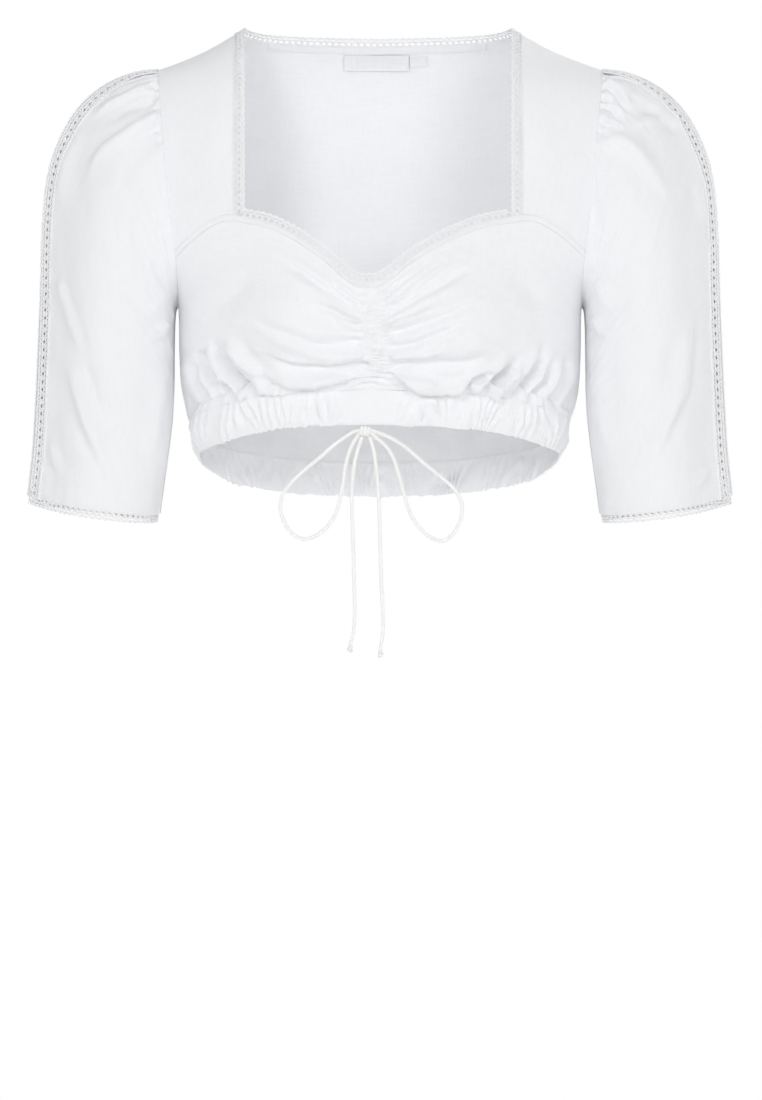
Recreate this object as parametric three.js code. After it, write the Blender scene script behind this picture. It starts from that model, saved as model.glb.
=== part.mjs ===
// Dirndl blouse: a cropped cotton blouse with a sweetheart neck, lace edges, half sleeves with a lace
// insertion, a gathered hem band and a drawstring bow. It is shown worn by a general figure that is not there.
// Millimetres, +Z up, +X to the viewer's right, front towards -Y. The origin is midway between the neck
// points, on the shoulder line that carries the blouse.
import * as THREE from "three";

// Cloth and lace
const CLOTH_WALL = 1.4;
const BAND_WALL = 2.2;
const BAND_LIFT = 0.5;
const LACE_WALL = 0.9;
const LACE_SINK = 0.25;
const LACE_WIDTH = 5.8;
const SCALLOP_DEPTH = 1.4;
const SCALLOP_PITCH = 9.5;
const SEAM_GAP = 0.3;
const CURVED_SEAM_GAP = 0.6;

// Shoulders, neck and armholes
const SHOULDER_TIP_X = 178;
const NECK_EDGE_X = 112;
const NECK_POINT_Z = -4;
const NECK_RISE = 36;
const ARMHOLE_TOP_Z = -34;
const ARMPIT_Z = -222;
const SHOULDER_ROUND = 55;

// Bust, centre front and hem
const CUP_X = 72;
const CUP_Z = -232;
const CUP_DEPTH = 20;
const CUP_SPREAD_X = 46;
const CUP_SPREAD_Z = 46;
const POUCH_DEPTH = 11;
const BUST_BAND_WIDTH = 5;
const HEM_BAND_HEIGHT = 27.5;
const HEM_SIDE_TOP_Z = -313.5;
const BODY_DRIFT = 3;
const CENTRE_DRIFT = 7;
const DRIFT_REACH = 160;
const RUCHE_HALF_WIDTH = 20;
const RUCHE_HEIGHT = 1.5;
const RUCHE_PITCH = 13.5;
const HEM_GATHER_PITCH = 8.6;
const HEM_GATHER_HEIGHT = 1.5;

// Sleeves
const INSERTION_WIDTH = 14;
const SLEEVE_EASE = 0.6;
const CAP_GATHERS = 7;
const CAP_GATHER_HEIGHT = 2.6;
const CAP_GATHER_SPAN = 0.34;
const CUFF_FRONT_DROP = 5;
const PRESSED_FOLD = 0.8;

// Drawstring
const CORD_DIAMETER = 3;
const CORD_SIDES = 8;
const CORD_STEP = 9;
const KNOT = { x: -12, y: -90.5, z: -323, halfX: 9.5, halfY: 4.6, halfZ: 4.2 };
const END_KNOT_RADIUS = 2.6;

// Rings of the body, seen as an oval at each height: half-width at the side, depth to front and back.
const BODY_RINGS = [
  { z: 40, halfWidth: 224, front: 98, back: 86 },
  { z: -34, halfWidth: 215, front: 100, back: 87 },
  { z: -80, halfWidth: 206, front: 102, back: 87 },
  { z: -121, halfWidth: 197, front: 104, back: 87 },
  { z: -160, halfWidth: 189, front: 106, back: 86 },
  { z: -186, halfWidth: 176, front: 108, back: 84 },
  { z: -205, halfWidth: 166, front: 109, back: 82 },
  { z: -222, halfWidth: 161.5, front: 109, back: 80 },
  { z: -262, halfWidth: 160.5, front: 107, back: 78 },
  { z: -286, halfWidth: 159, front: 102, back: 78 },
  { z: -300, halfWidth: 156, front: 98, back: 79 },
  { z: -313.5, halfWidth: 151.5, front: 95, back: 80 },
];

// The shoulder line, out from the neck edge.
const RIDGE = [
  { x: 112, z: -4 },
  { x: 136, z: -17.5 },
  { x: 157, z: -26.5 },
  { x: 178, z: -34 },
  { x: 200, z: -41 },
];

// The cut edge of the back neck, under its lace.
const BACK_NECK = [
  { x: 0, z: -13.5 },
  { x: 60, z: -12 },
  { x: 90, z: -10 },
  { x: 105, z: -7 },
  { x: 112, z: -4 },
];

// The armhole seam seen from the front.
const ARMHOLE = [
  { z: -34, x: 178 },
  { z: -75, x: 174.5 },
  { z: -121, x: 171 },
  { z: -158, x: 167 },
  { z: -183, x: 163.8 },
  { z: -205, x: 162.2 },
  { z: -222, x: 161.5 },
];

// The top of the bust band from the centre front to the armhole: sweetheart dip, strap corner, bust seam.
const BUST_EDGE = [
  { x: 0, z: -204 },
  { x: 9, z: -203 },
  { x: 19, z: -197 },
  { x: 35, z: -183.5 },
  { x: 46, z: -176 },
  { x: 64, z: -165.5 },
  { x: 86, z: -156.3 },
  { x: 107, z: -152.3 },
  { x: 118, z: -150.8 },
  { x: 127, z: -152.3 },
  { x: 138, z: -158 },
  { x: 150, z: -167 },
  { x: 165, z: -181 },
];

// The lower edge of the hem band by the angle round the body, front and back.
const HEM_EDGE = [
  { degrees: 0, front: -318.5, back: -375 },
  { degrees: 24, front: -319.5, back: -372.6 },
  { degrees: 41, front: -324, back: -368 },
  { degrees: 56, front: -330.5, back: -362.5 },
  { degrees: 73, front: -337, back: -351.5 },
  { degrees: 90, front: -341, back: -341 },
];

// Large folds of the bust panel, each a soft ridge from one point to another, left and right uneven.
const BUST_FOLDS = [
  { fromX: 21, fromZ: -222, toX: 84, toZ: -196, spread: 6, height: 2.2 },
  { fromX: 22, fromZ: -240, toX: 104, toZ: -228, spread: 7, height: 2.6 },
  { fromX: 22, fromZ: -258, toX: 112, toZ: -262, spread: 8, height: 3.2 },
  { fromX: 24, fromZ: -275, toX: 92, toZ: -284, spread: 6, height: 3 },
  { fromX: 118, fromZ: -286, toX: 140, toZ: -252, spread: 7, height: 2.6 },
  { fromX: -21, fromZ: -219, toX: -92, toZ: -190, spread: 6, height: 2.4 },
  { fromX: -21, fromZ: -236, toX: -86, toZ: -224, spread: 7, height: 2.2 },
  { fromX: -22, fromZ: -254, toX: -110, toZ: -248, spread: 8, height: 2.8 },
  { fromX: -24, fromZ: -276, toX: -118, toZ: -272, spread: 7, height: 3.2 },
  { fromX: -130, fromZ: -288, toX: -146, toZ: -244, spread: 7, height: 2.4 },
];

// Rings of the sleeve from the armhole to the cuff: outer and inner point, depth to front and back.
const SLEEVE_RINGS = [
  { outX: 178, outZ: -34, inX: 161.5, inZ: -222, front: 52, back: 58, midY: 0 },
  { outX: 199, outZ: -37.5, inX: 163.5, inZ: -226, front: 56, back: 61, midY: 0 },
  { outX: 222, outZ: -48.5, inX: 164.2, inZ: -232, front: 59, back: 63, midY: 0 },
  { outX: 241, outZ: -66, inX: 164.6, inZ: -240, front: 61, back: 63, midY: 0 },
  { outX: 255, outZ: -90, inX: 164.8, inZ: -250, front: 61, back: 62, midY: -1 },
  { outX: 264.5, outZ: -120, inX: 164.9, inZ: -262, front: 59, back: 60, midY: -2 },
  { outX: 268.5, outZ: -160, inX: 165, inZ: -276, front: 57, back: 57, midY: -3 },
  { outX: 269.8, outZ: -205, inX: 165.2, inZ: -292, front: 54, back: 55, midY: -4 },
  { outX: 271.5, outZ: -250, inX: 166.2, inZ: -311, front: 52, back: 53, midY: -5 },
  { outX: 273.5, outZ: -295, inX: 168.6, inZ: -333, front: 50, back: 51, midY: -6 },
  { outX: 276, outZ: -337, inX: 172, inZ: -358, front: 48, back: 49, midY: -7 },
  { outX: 280, outZ: -374, inX: 176, inZ: -388, front: 46, back: 47, midY: -8 },
];

// Large folds of the sleeve front in shares of its girth and length.
const SLEEVE_FOLDS = [
  { fromW: 0.16, fromV: 0.3, toW: 0.38, toV: 1, spread: 0.05, height: 3 },
  { fromW: 0.45, fromV: 0.2, toW: 0.62, toV: 0.8, spread: 0.06, height: 2.4 },
  { fromW: 1.7, fromV: 0.3, toW: 1.5, toV: 1, spread: 0.06, height: 2.8 },
  { fromW: 1.4, fromV: 0.2, toW: 1.3, toV: 0.75, spread: 0.06, height: 2.2 },
];

// Labels on the inside of the back neck, both bare.
const LABELS = [
  { name: "label", fromX: -29, toX: 23.5, topZ: -20, height: 12 },
  { name: "size_label", fromX: 24.2, toX: 38, topZ: -20.4, height: 8 },
];

// Routes of the drawstring, chosen by hand. Loops hang in front of the tails.
const LOOP_Y = -91.3;
const TAIL_Y = -89.7;
const CORD_ROUTES = [
  {
    name: "tie_loop_left",
    points: [
      [-21.7, LOOP_Y, -323.9],
      [-34, -94.4, -332.2],
      [-48, -96.2, -344.2],
      [-61.6, -97.8, -355.6],
      [-72.8, -98, -366.8],
      [-78.6, -98, -377],
      [-79, -98, -387],
      [-75.2, -98, -397.2],
      [-68.8, -98, -405.4],
      [-60, -98, -408.8],
      [-50.4, -97.8, -406],
      [-41, -97.4, -398],
      [-34.2, -97, -385.6],
      [-29.8, -96.6, -366.4],
      [-27.2, -95, -349.6],
      [-23.6, -93.2, -337],
      [-17.9, LOOP_Y, -326.6],
    ],
  },
  {
    name: "tie_loop_right",
    points: [
      [-2.3, LOOP_Y, -323.9],
      [9, -94.2, -328.8],
      [22.4, -97, -337.6],
      [35.2, -97.6, -348.8],
      [48.8, -98, -359.8],
      [60, -98, -370.4],
      [65, -98, -381],
      [64, -98, -393.4],
      [58.4, -98, -404.4],
      [50, -98, -410.4],
      [40.4, -97.8, -407.6],
      [30.6, -97.4, -399],
      [24, -97, -388.4],
      [20, -96.8, -376],
      [15.6, -96.4, -359.6],
      [11, -95, -345.4],
      [5, -93.2, -335.4],
      [-5.1, LOOP_Y, -326.4],
    ],
  },
  {
    name: "tie_tail_left",
    points: [
      [-14.5, TAIL_Y, -327.5],
      [-18.4, TAIL_Y, -340.4],
      [-21.2, TAIL_Y, -355.2],
      [-22.4, TAIL_Y, -374.4],
      [-22.2, TAIL_Y, -391],
      [-21.6, TAIL_Y, -408],
      [-21, TAIL_Y, -422],
      [-20.8, TAIL_Y, -435.2],
      [-20.4, TAIL_Y, -449],
      [-20, TAIL_Y, -463.2],
      [-20.2, TAIL_Y, -473],
      [-20.8, TAIL_Y, -481.4],
      [-22, TAIL_Y, -487],
      [-23, TAIL_Y, -490.6],
      [-23.6, TAIL_Y, -493.4],
    ],
  },
  {
    name: "tie_tail_right",
    points: [
      [-8.4, TAIL_Y, -327.3],
      [-4.8, TAIL_Y, -338.4],
      [-3.4, TAIL_Y, -349],
      [-2.4, TAIL_Y, -359.6],
      [-1.2, TAIL_Y, -374],
      [-0.4, TAIL_Y, -391],
      [0, TAIL_Y, -408],
      [0.4, TAIL_Y, -422],
      [0.8, TAIL_Y, -435.2],
      [1.4, TAIL_Y, -449],
      [2.1, TAIL_Y, -463.2],
      [2.6, TAIL_Y, -473],
      [2.4, TAIL_Y, -482],
      [1.2, TAIL_Y, -491],
      [0.4, TAIL_Y, -497.6],
    ],
  },
];

// Finishes
const cotton = () => new THREE.MeshStandardMaterial({ color: 0xf3f4f8, roughness: 0.9, metalness: 0 });
const laceThread = () => new THREE.MeshStandardMaterial({ color: 0xeff0f4, roughness: 0.85, metalness: 0 });
const labelSatin = () => new THREE.MeshStandardMaterial({ color: 0xf6f6f8, roughness: 0.6, metalness: 0 });
const cordCotton = () => new THREE.MeshStandardMaterial({ color: 0xf2f1ee, roughness: 0.8, metalness: 0 });

const clamp = (value, low, high) => Math.min(high, Math.max(low, value));
const mix = (a, b, share) => a + (b - a) * share;

function smooth(low, high, value) {
  const share = clamp((value - low) / (high - low), 0, 1);
  return share * share * (3 - 2 * share);
}

const bump = (distance, spread) => Math.exp(-((distance / spread) ** 2));

// Reads a column of a table at a place between its rows, with smooth slopes through them.
function read(rows, key, place, column) {
  const upward = rows[1][key] > rows[0][key] ? 1 : -1;
  const at = clamp(place * upward, rows[0][key] * upward, rows[rows.length - 1][key] * upward);
  let row = 0;
  while (row < rows.length - 2 && rows[row + 1][key] * upward < at) row += 1;
  const here = (i) => rows[clamp(i, 0, rows.length - 1)];
  const slope = (i) => {
    const before = here(i - 1);
    const after = here(i + 1);
    return (after[column] - before[column]) / ((after[key] - before[key]) * upward);
  };
  const span = (rows[row + 1][key] - rows[row][key]) * upward;
  const t = (at - rows[row][key] * upward) / span;
  const first = rows[row][column];
  const last = rows[row + 1][column];
  const t2 = t * t;
  const t3 = t2 * t;
  const bend = (t3 - 2 * t2 + t) * slope(row) + (t3 - t2) * slope(row + 1);
  return first * (2 * t3 - 3 * t2 + 1) + last * (3 * t2 - 2 * t3) + span * bend;
}

// Height of a soft ridge that runs from one point to another, at a point beside it.
function ridgeHeight(px, pz, ax, az, bx, bz, spread, height) {
  const length2 = (bx - ax) ** 2 + (bz - az) ** 2;
  const along = clamp(((px - ax) * (bx - ax) + (pz - az) * (bz - az)) / length2, 0, 1);
  const away = Math.hypot(px - mix(ax, bx, along), pz - mix(az, bz, along));
  return height * bump(away, spread) * (1 - 0.7 * along);
}

// Body surface
const FRONT = -1;
const BACK = 1;

function shoulderLine(x) {
  const across = Math.abs(x);
  if (across >= NECK_EDGE_X) return read(RIDGE, "x", across, "z");
  return NECK_POINT_Z + NECK_RISE * (1 - (across / NECK_EDGE_X) ** 2);
}

function hemEdge(side, angle) {
  const degrees = clamp(Math.abs(THREE.MathUtils.radToDeg(angle)), 0, 90);
  return read(HEM_EDGE, "degrees", degrees, side === FRONT ? "front" : "back");
}

const hemTop = (side, angle) => hemEdge(side, angle) + HEM_BAND_HEIGHT;

// Height at which the ring tables are read, so that the last ring follows the hem.
function ringHeight(side, angle, z) {
  const nearHem = smooth(-225, -290, z);
  return z - (hemTop(side, angle) - HEM_SIDE_TOP_Z) * nearHem;
}

const halfWidthAt = (z) => read(BODY_RINGS, "z", z, "halfWidth");

function driftAt(side, x) {
  const body = BODY_DRIFT * Math.max(0, 1 - (x / DRIFT_REACH) ** 2);
  const centre = CENTRE_DRIFT * Math.max(0, 1 - (x / NECK_EDGE_X) ** 2) ** 2;
  return side === FRONT ? -body - centre : -body;
}

function bodyPoint(side, angle, z) {
  const ringZ = ringHeight(side, angle, z);
  const x = halfWidthAt(ringZ) * Math.sin(angle);
  const depth = read(BODY_RINGS, "z", ringZ, side === FRONT ? "front" : "back");
  const below = Math.max(0, shoulderLine(x) - z);
  const round = Math.sqrt(1 - Math.exp(-below / SHOULDER_ROUND));
  let y = SEAM_GAP / 2 + depth * Math.cos(angle) * round;
  if (side === FRONT) {
    const cups = bump(x - CUP_X, CUP_SPREAD_X) + bump(x + CUP_X, CUP_SPREAD_X);
    const aboveHem = z - hemTop(side, angle);
    y += CUP_DEPTH * cups * bump(z - CUP_Z, CUP_SPREAD_Z) * smooth(0, 40, aboveHem) * round;
    const pouchSide = smooth(10, 36, Math.abs(x)) * Math.max(0, Math.cos(angle)) ** 0.6;
    y += POUCH_DEPTH * pouchSide * smooth(0, 8, aboveHem) * Math.exp(-Math.max(0, aboveHem) / 24);
  }
  return new THREE.Vector3(x + driftAt(side, x), side * y, z);
}

function bodyNormal(side, angle, z) {
  const turn = 0.012;
  const rise = 1.2;
  const across = bodyPoint(side, angle + turn, z).sub(bodyPoint(side, angle - turn, z));
  const up = bodyPoint(side, angle, z + rise).sub(bodyPoint(side, angle, z - rise));
  const normal = across.cross(up).normalize();
  return side === FRONT ? normal : normal.negate();
}

// Angle of a point that is known by its distance from the middle.
const angleAt = (x, z) => Math.asin(clamp(x / halfWidthAt(z), -1, 1));

const armholeX = (z) => read(ARMHOLE, "z", z, "x");

// Widest angle of a panel at a height: the armhole above, the side seam below.
function edgeAngle(z) {
  return z > ARMPIT_Z ? angleAt(armholeX(z), z) : Math.PI / 2;
}

// Solid wall over a grid of surface places. A place gives a base point, its normal and its relief.
function wallGeometry(placeAt, columns, rows, above, below) {
  const vertices = [];
  const index = [];
  const wide = columns.length;
  const tall = rows.length;
  for (const offset of [above, -below]) {
    for (const v of rows) {
      for (const u of columns) {
        const { base, normal, relief } = placeAt(u, v);
        const point = base.clone().addScaledVector(normal, relief + offset);
        vertices.push(point.x, point.y, point.z);
      }
    }
  }
  const outer = (i, j) => j * wide + i;
  const inner = (i, j) => wide * tall + j * wide + i;
  const quad = (a, b, c, d) => index.push(a, b, c, a, c, d);
  for (let j = 0; j < tall - 1; j += 1) {
    for (let i = 0; i < wide - 1; i += 1) {
      quad(outer(i, j), outer(i + 1, j), outer(i + 1, j + 1), outer(i, j + 1));
      quad(inner(i, j), inner(i, j + 1), inner(i + 1, j + 1), inner(i + 1, j));
    }
    quad(outer(0, j), outer(0, j + 1), inner(0, j + 1), inner(0, j));
    quad(outer(wide - 1, j), inner(wide - 1, j), inner(wide - 1, j + 1), outer(wide - 1, j + 1));
  }
  for (let i = 0; i < wide - 1; i += 1) {
    quad(outer(i, 0), inner(i, 0), inner(i + 1, 0), outer(i + 1, 0));
    quad(outer(i, tall - 1), outer(i + 1, tall - 1), inner(i + 1, tall - 1), inner(i, tall - 1));
  }
  return facingOut(vertices, index);
}

// Turns the faces round where the grid ran the other way.
function facingOut(vertices, index) {
  let volume = 0;
  const at = (i) => new THREE.Vector3(vertices[3 * i], vertices[3 * i + 1], vertices[3 * i + 2]);
  for (let k = 0; k < index.length; k += 3) {
    volume += at(index[k]).dot(at(index[k + 1]).cross(at(index[k + 2])));
  }
  if (volume < 0) index.reverse();
  const geometry = new THREE.BufferGeometry();
  geometry.setAttribute("position", new THREE.Float32BufferAttribute(vertices, 3));
  geometry.setIndex(index);
  geometry.computeVertexNormals();
  return geometry;
}

// Even steps from one value to another, for one or more stretches that join.
function steps(...stretches) {
  const values = [stretches[0].from];
  for (const { from, to, count } of stretches) {
    for (let i = 1; i <= count; i += 1) values.push(mix(from, to, i / count));
  }
  return values;
}

function piece(name, geometry, material) {
  const mesh = new THREE.Mesh(geometry, material);
  mesh.name = name;
  return mesh;
}

// Relief of the bust panel: its large folds and the ruched stretch down the centre front.
function bustRelief(x, z) {
  const heights = BUST_FOLDS.map((f) =>
    ridgeHeight(x, z, f.fromX, f.fromZ, f.toX, f.toZ, f.spread, f.height),
  );
  const folds = heights.reduce((sum, height) => sum + height, 0);
  const inColumn = 1 - smooth(RUCHE_HALF_WIDTH - 5, RUCHE_HALF_WIDTH + 3, Math.abs(x));
  const wave = Math.sin((2 * Math.PI * z) / RUCHE_PITCH + x / 14);
  return folds + RUCHE_HEIGHT * inColumn * wave;
}

const bustEdge = (x) => read(BUST_EDGE, "x", Math.abs(x), "z");
const bustEdgeEndX = armholeX(-181) - 0.5;

// Front bust panel, from the bust band down to the hem band and out to the side seams.
function frontBust() {
  const placeAt = (s, v) => {
    const topX = s * bustEdgeEndX;
    const topZ = bustEdge(topX) - BUST_BAND_WIDTH - 2 * SEAM_GAP;
    const bottomZ = hemTop(FRONT, (s * Math.PI) / 2) + SEAM_GAP;
    const z = mix(topZ, bottomZ, v);
    const lead = angleAt(topX, topZ) - s * edgeAngle(topZ);
    const angle = s * edgeAngle(z) + lead * (1 - v) ** 2;
    const edgeFade = smooth(0, 0.12, v) * (1 - smooth(0.9, 1, v)) * (1 - smooth(0.85, 1, Math.abs(s)));
    const x = halfWidthAt(ringHeight(FRONT, angle, z)) * Math.sin(angle);
    return {
      base: bodyPoint(FRONT, angle, z),
      normal: bodyNormal(FRONT, angle, z),
      relief: bustRelief(x, z) * edgeFade,
    };
  };
  const columns = steps(
    { from: -1, to: -0.16, count: 16 },
    { from: -0.16, to: 0.16, count: 8 },
    { from: 0.16, to: 1, count: 16 },
  );
  return wallGeometry(placeAt, columns, steps({ from: 0, to: 1, count: 19 }), 0, CLOTH_WALL);
}

// Folded band along the sweetheart edge and the bust seams, armhole to armhole.
function bustBand() {
  const placeAt = (x, v) => {
    const z = bustEdge(x) - BUST_BAND_WIDTH * v;
    const angle = angleAt(x, z);
    return { base: bodyPoint(FRONT, angle, z), normal: bodyNormal(FRONT, angle, z), relief: 0 };
  };
  const columns = steps(
    { from: -bustEdgeEndX, to: -56, count: 15 },
    { from: -56, to: 56, count: 20 },
    { from: 56, to: bustEdgeEndX, count: 15 },
  );
  return wallGeometry(placeAt, columns, [0, 1], BAND_LIFT, BAND_WALL - BAND_LIFT);
}

// Shoulder part of the front, from the shoulder seam down to the bust band.
function frontShoulder(sideX) {
  const placeAt = (u, v) => {
    const topX = mix(NECK_EDGE_X, SHOULDER_TIP_X, u);
    const lowX = mix(NECK_EDGE_X, bustEdgeEndX, u);
    const z = mix(shoulderLine(topX), bustEdge(lowX) + SEAM_GAP, v * v);
    const wide = v === 0 ? topX : mix(NECK_EDGE_X, armholeX(z), u);
    const angle = sideX * angleAt(wide, z);
    const normal = bodyNormal(FRONT, angle, z);
    if (v === 0) normal.setY(0).normalize();
    return { base: bodyPoint(FRONT, angle, z), normal, relief: 0 };
  };
  return wallGeometry(
    placeAt,
    steps({ from: 0, to: 1, count: 6 }),
    steps({ from: 0, to: 1, count: 10 }),
    0,
    CLOTH_WALL,
  );
}

const backNeck = (x) => read(BACK_NECK, "x", Math.abs(x), "z");

// Places across the back neck, closer together towards the neck points, where it turns.
const BACK_NECK_COLUMNS = 18;
const neckPlaces = (count) =>
  steps({ from: -1, to: 1, count }).map((t) => NECK_EDGE_X * Math.sin((t * Math.PI) / 2));

// Back panel, from the shoulder seams and the back neck down to the hem band.
function backPanel() {
  const neckShare = NECK_EDGE_X / SHOULDER_TIP_X;
  const placeAt = (s, v) => {
    const topX = s * SHOULDER_TIP_X;
    const onShoulder = Math.abs(s) >= neckShare - 1e-9;
    const topZ = onShoulder ? shoulderLine(topX) : backNeck(topX);
    const bottomZ = hemTop(BACK, (s * Math.PI) / 2) + SEAM_GAP;
    const z = mix(topZ, bottomZ, v * v);
    const lead = angleAt(topX, topZ) - s * edgeAngle(topZ);
    const angle = s * edgeAngle(z) + lead * (1 - v) ** 2;
    const normal = bodyNormal(BACK, angle, z);
    if (v === 0 && onShoulder) normal.setY(0).normalize();
    const folds = Math.sin(9 * angle) * smooth(0.55, 0.85, v) * (1 - smooth(0.93, 1, v));
    return { base: bodyPoint(BACK, angle, z), normal, relief: 1.6 * folds * Math.cos(angle) };
  };
  const shoulder = steps({ from: neckShare, to: 1, count: 5 }).slice(1);
  const columns = [
    ...shoulder.map((s) => -s).reverse(),
    ...neckPlaces(BACK_NECK_COLUMNS).map((x) => x / SHOULDER_TIP_X),
    ...shoulder,
  ];
  return wallGeometry(placeAt, columns, steps({ from: 0, to: 1, count: 18 }), 0, CLOTH_WALL);
}

// Elastic hem band, gathered all round but for a smooth stretch at the centre front.
function hemBand(side) {
  const lowRing = { halfWidth: 144.5, front: 90, back: 80 };
  const topRing = BODY_RINGS[BODY_RINGS.length - 1];
  const column = side === FRONT ? "front" : "back";
  const pointAt = (angle, v) => {
    const x = mix(topRing.halfWidth, lowRing.halfWidth, v) * Math.sin(angle);
    const y = SEAM_GAP / 2 + mix(topRing[column], lowRing[column], v) * Math.cos(angle);
    return new THREE.Vector3(x + driftAt(side, x), side * y, hemTop(side, angle) - HEM_BAND_HEIGHT * v);
  };
  const placeAt = (s, v) => {
    const angle = (s * Math.PI) / 2;
    const turn = 0.012;
    const across = pointAt(angle + turn, v).sub(pointAt(angle - turn, v));
    const up = pointAt(angle, v - 0.05).sub(pointAt(angle, v + 0.05));
    const normal = across.cross(up).normalize();
    if (side === BACK) normal.negate();
    const along = angle * mix(topRing.halfWidth, topRing[column], 0.5);
    const gathered = side === BACK ? 1 : smooth(17, 26, Math.abs(along));
    const wave = 0.5 + 0.5 * Math.cos((2 * Math.PI * along) / HEM_GATHER_PITCH);
    const seamFade = 1 - smooth(0.94, 1, Math.abs(s));
    return { base: pointAt(angle, v), normal, relief: HEM_GATHER_HEIGHT * gathered * wave * seamFade };
  };
  return wallGeometry(placeAt, steps({ from: -1, to: 1, count: 84 }), [0, 0.5, 1], 0, CLOTH_WALL);
}

// Sleeve surface: w runs once round, 0 at the outer fold, 1 at the underarm seam and back to 2.
const CUFF_V = 1;

function armholePoint(w) {
  const midZ = (ARMHOLE_TOP_Z + ARMPIT_Z) / 2;
  const halfZ = (ARMHOLE_TOP_Z - ARMPIT_Z) / 2;
  const z = midZ + halfZ * Math.cos(Math.PI * w);
  const side = w <= 1 ? FRONT : BACK;
  return bodyPoint(side, angleAt(armholeX(z), z), z);
}

function sleeveRing(w, v) {
  const ring = (column) => read(SLEEVE_RING_ROWS, "v", v, column);
  const front = w <= 1;
  const half = front ? w : 2 - w;
  const pressed = PRESSED_FOLD * smooth(0, 0.35, v);
  const round = Math.cos(Math.PI * half);
  const across = mix(round, 1 - 2 * half, pressed * (1 - smooth(0.1, 0.9, half)));
  const pinch = (front ? 0.35 : 0.15) * pressed * Math.max(0, round) ** 2;
  const deep = Math.sin(Math.PI * half) * (1 - pinch);
  const midX = (ring("outX") + ring("inX")) / 2;
  const midZ = (ring("outZ") + ring("inZ")) / 2;
  const x = midX + ((ring("outX") - ring("inX")) / 2) * across;
  const drop = front ? CUFF_FRONT_DROP * v * v * Math.sin(Math.PI * half) : 0;
  const z = midZ + ((ring("outZ") - ring("inZ")) / 2) * across - drop;
  const y = ring("midY") + (front ? -ring("front") : ring("back")) * deep;
  return new THREE.Vector3(x, y, z);
}

const SLEEVE_RING_ROWS = SLEEVE_RINGS.map((row, i) => ({ v: i / (SLEEVE_RINGS.length - 1), ...row }));

function sleevePoint(w, v) {
  const around = ((w % 2) + 2) % 2;
  const point = sleeveRing(around, clamp(v, 0, 1));
  const toSeam = armholePoint(around).sub(sleeveRing(around, 0));
  const hold = Math.max(0, 1 - v / 0.3) ** 2;
  point.addScaledVector(toSeam, hold);
  point.x += SLEEVE_EASE;
  if (v < 0) point.x += v * 20;
  return point;
}

function sleevePlace(w, v) {
  const stepW = 0.012;
  const stepV = 0.006;
  const round = sleevePoint(w + stepW, v).sub(sleevePoint(w - stepW, v));
  const along = sleevePoint(w, Math.min(1, v + stepV)).sub(sleevePoint(w, Math.max(0, v - stepV)));
  const normal = along.cross(round).normalize();
  if (v === 0) normal.setX(0).normalize();
  const near = w > 1 ? w - 2 : w;
  const gatherPhase = (near / CAP_GATHER_SPAN) * Math.PI * CAP_GATHERS;
  const inCap = 1 - smooth(CAP_GATHER_SPAN * 0.7, CAP_GATHER_SPAN, Math.abs(near));
  const gathers = CAP_GATHER_HEIGHT * inCap * Math.exp(-v / 0.13) * Math.cos(gatherPhase);
  const folds = SLEEVE_FOLDS.map((f) =>
    ridgeHeight(w, v * 1.4, f.fromW, f.fromV * 1.4, f.toW, f.toV * 1.4, f.spread, f.height),
  ).reduce((sum, height) => sum + height, 0);
  const atSeam = smooth(0, 0.03, v) * smooth(0, 0.08, Math.min(Math.abs(w - 1), Math.abs(near)));
  return { base: sleevePoint(w, v), normal, relief: gathers * smooth(0, 0.02, Math.abs(near)) + folds * atSeam };
}

// Share of the girth that a width takes at the outer fold, at a distance down the sleeve.
function girthShare(width, v) {
  const probe = 0.02;
  return (width * probe) / sleevePoint(probe, v).distanceTo(sleevePoint(0, v));
}

// Mirrors a geometry made for the +X side to the -X side.
function mirrored(geometry) {
  const copy = geometry.clone();
  copy.scale(-1, 1, 1);
  copy.index.array.reverse();
  return copy;
}

const SLEEVE_ROWS = steps({ from: 0, to: 1, count: 12 }).map((v) => v ** 1.25);

function sleeveFront() {
  const placeAt = (u, v) => {
    const start = girthShare(INSERTION_WIDTH + SEAM_GAP, v);
    const end = 1 - girthShare(SEAM_GAP / 2, 0.9);
    return sleevePlace(mix(start, end, u), v);
  };
  const columns = steps({ from: 0, to: 0.32, count: 9 }, { from: 0.32, to: 1, count: 8 });
  return wallGeometry(placeAt, columns, SLEEVE_ROWS, 0, CLOTH_WALL);
}

function sleeveBack() {
  const placeAt = (u, v) => {
    const start = 1 + girthShare(SEAM_GAP / 2, 0.9);
    const end = 2 - girthShare(SEAM_GAP, v);
    return sleevePlace(mix(start, end, u), v);
  };
  const columns = steps({ from: 0, to: 0.68, count: 8 }, { from: 0.68, to: 1, count: 9 });
  return wallGeometry(placeAt, columns, SLEEVE_ROWS, 0, CLOTH_WALL);
}

function sleeveInsertion() {
  const placeAt = (u, v) => sleevePlace(girthShare(INSERTION_WIDTH, v) * u, v);
  return wallGeometry(placeAt, [0, 0.5, 1], SLEEVE_ROWS, -LACE_SINK, LACE_WALL + LACE_SINK);
}

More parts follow.
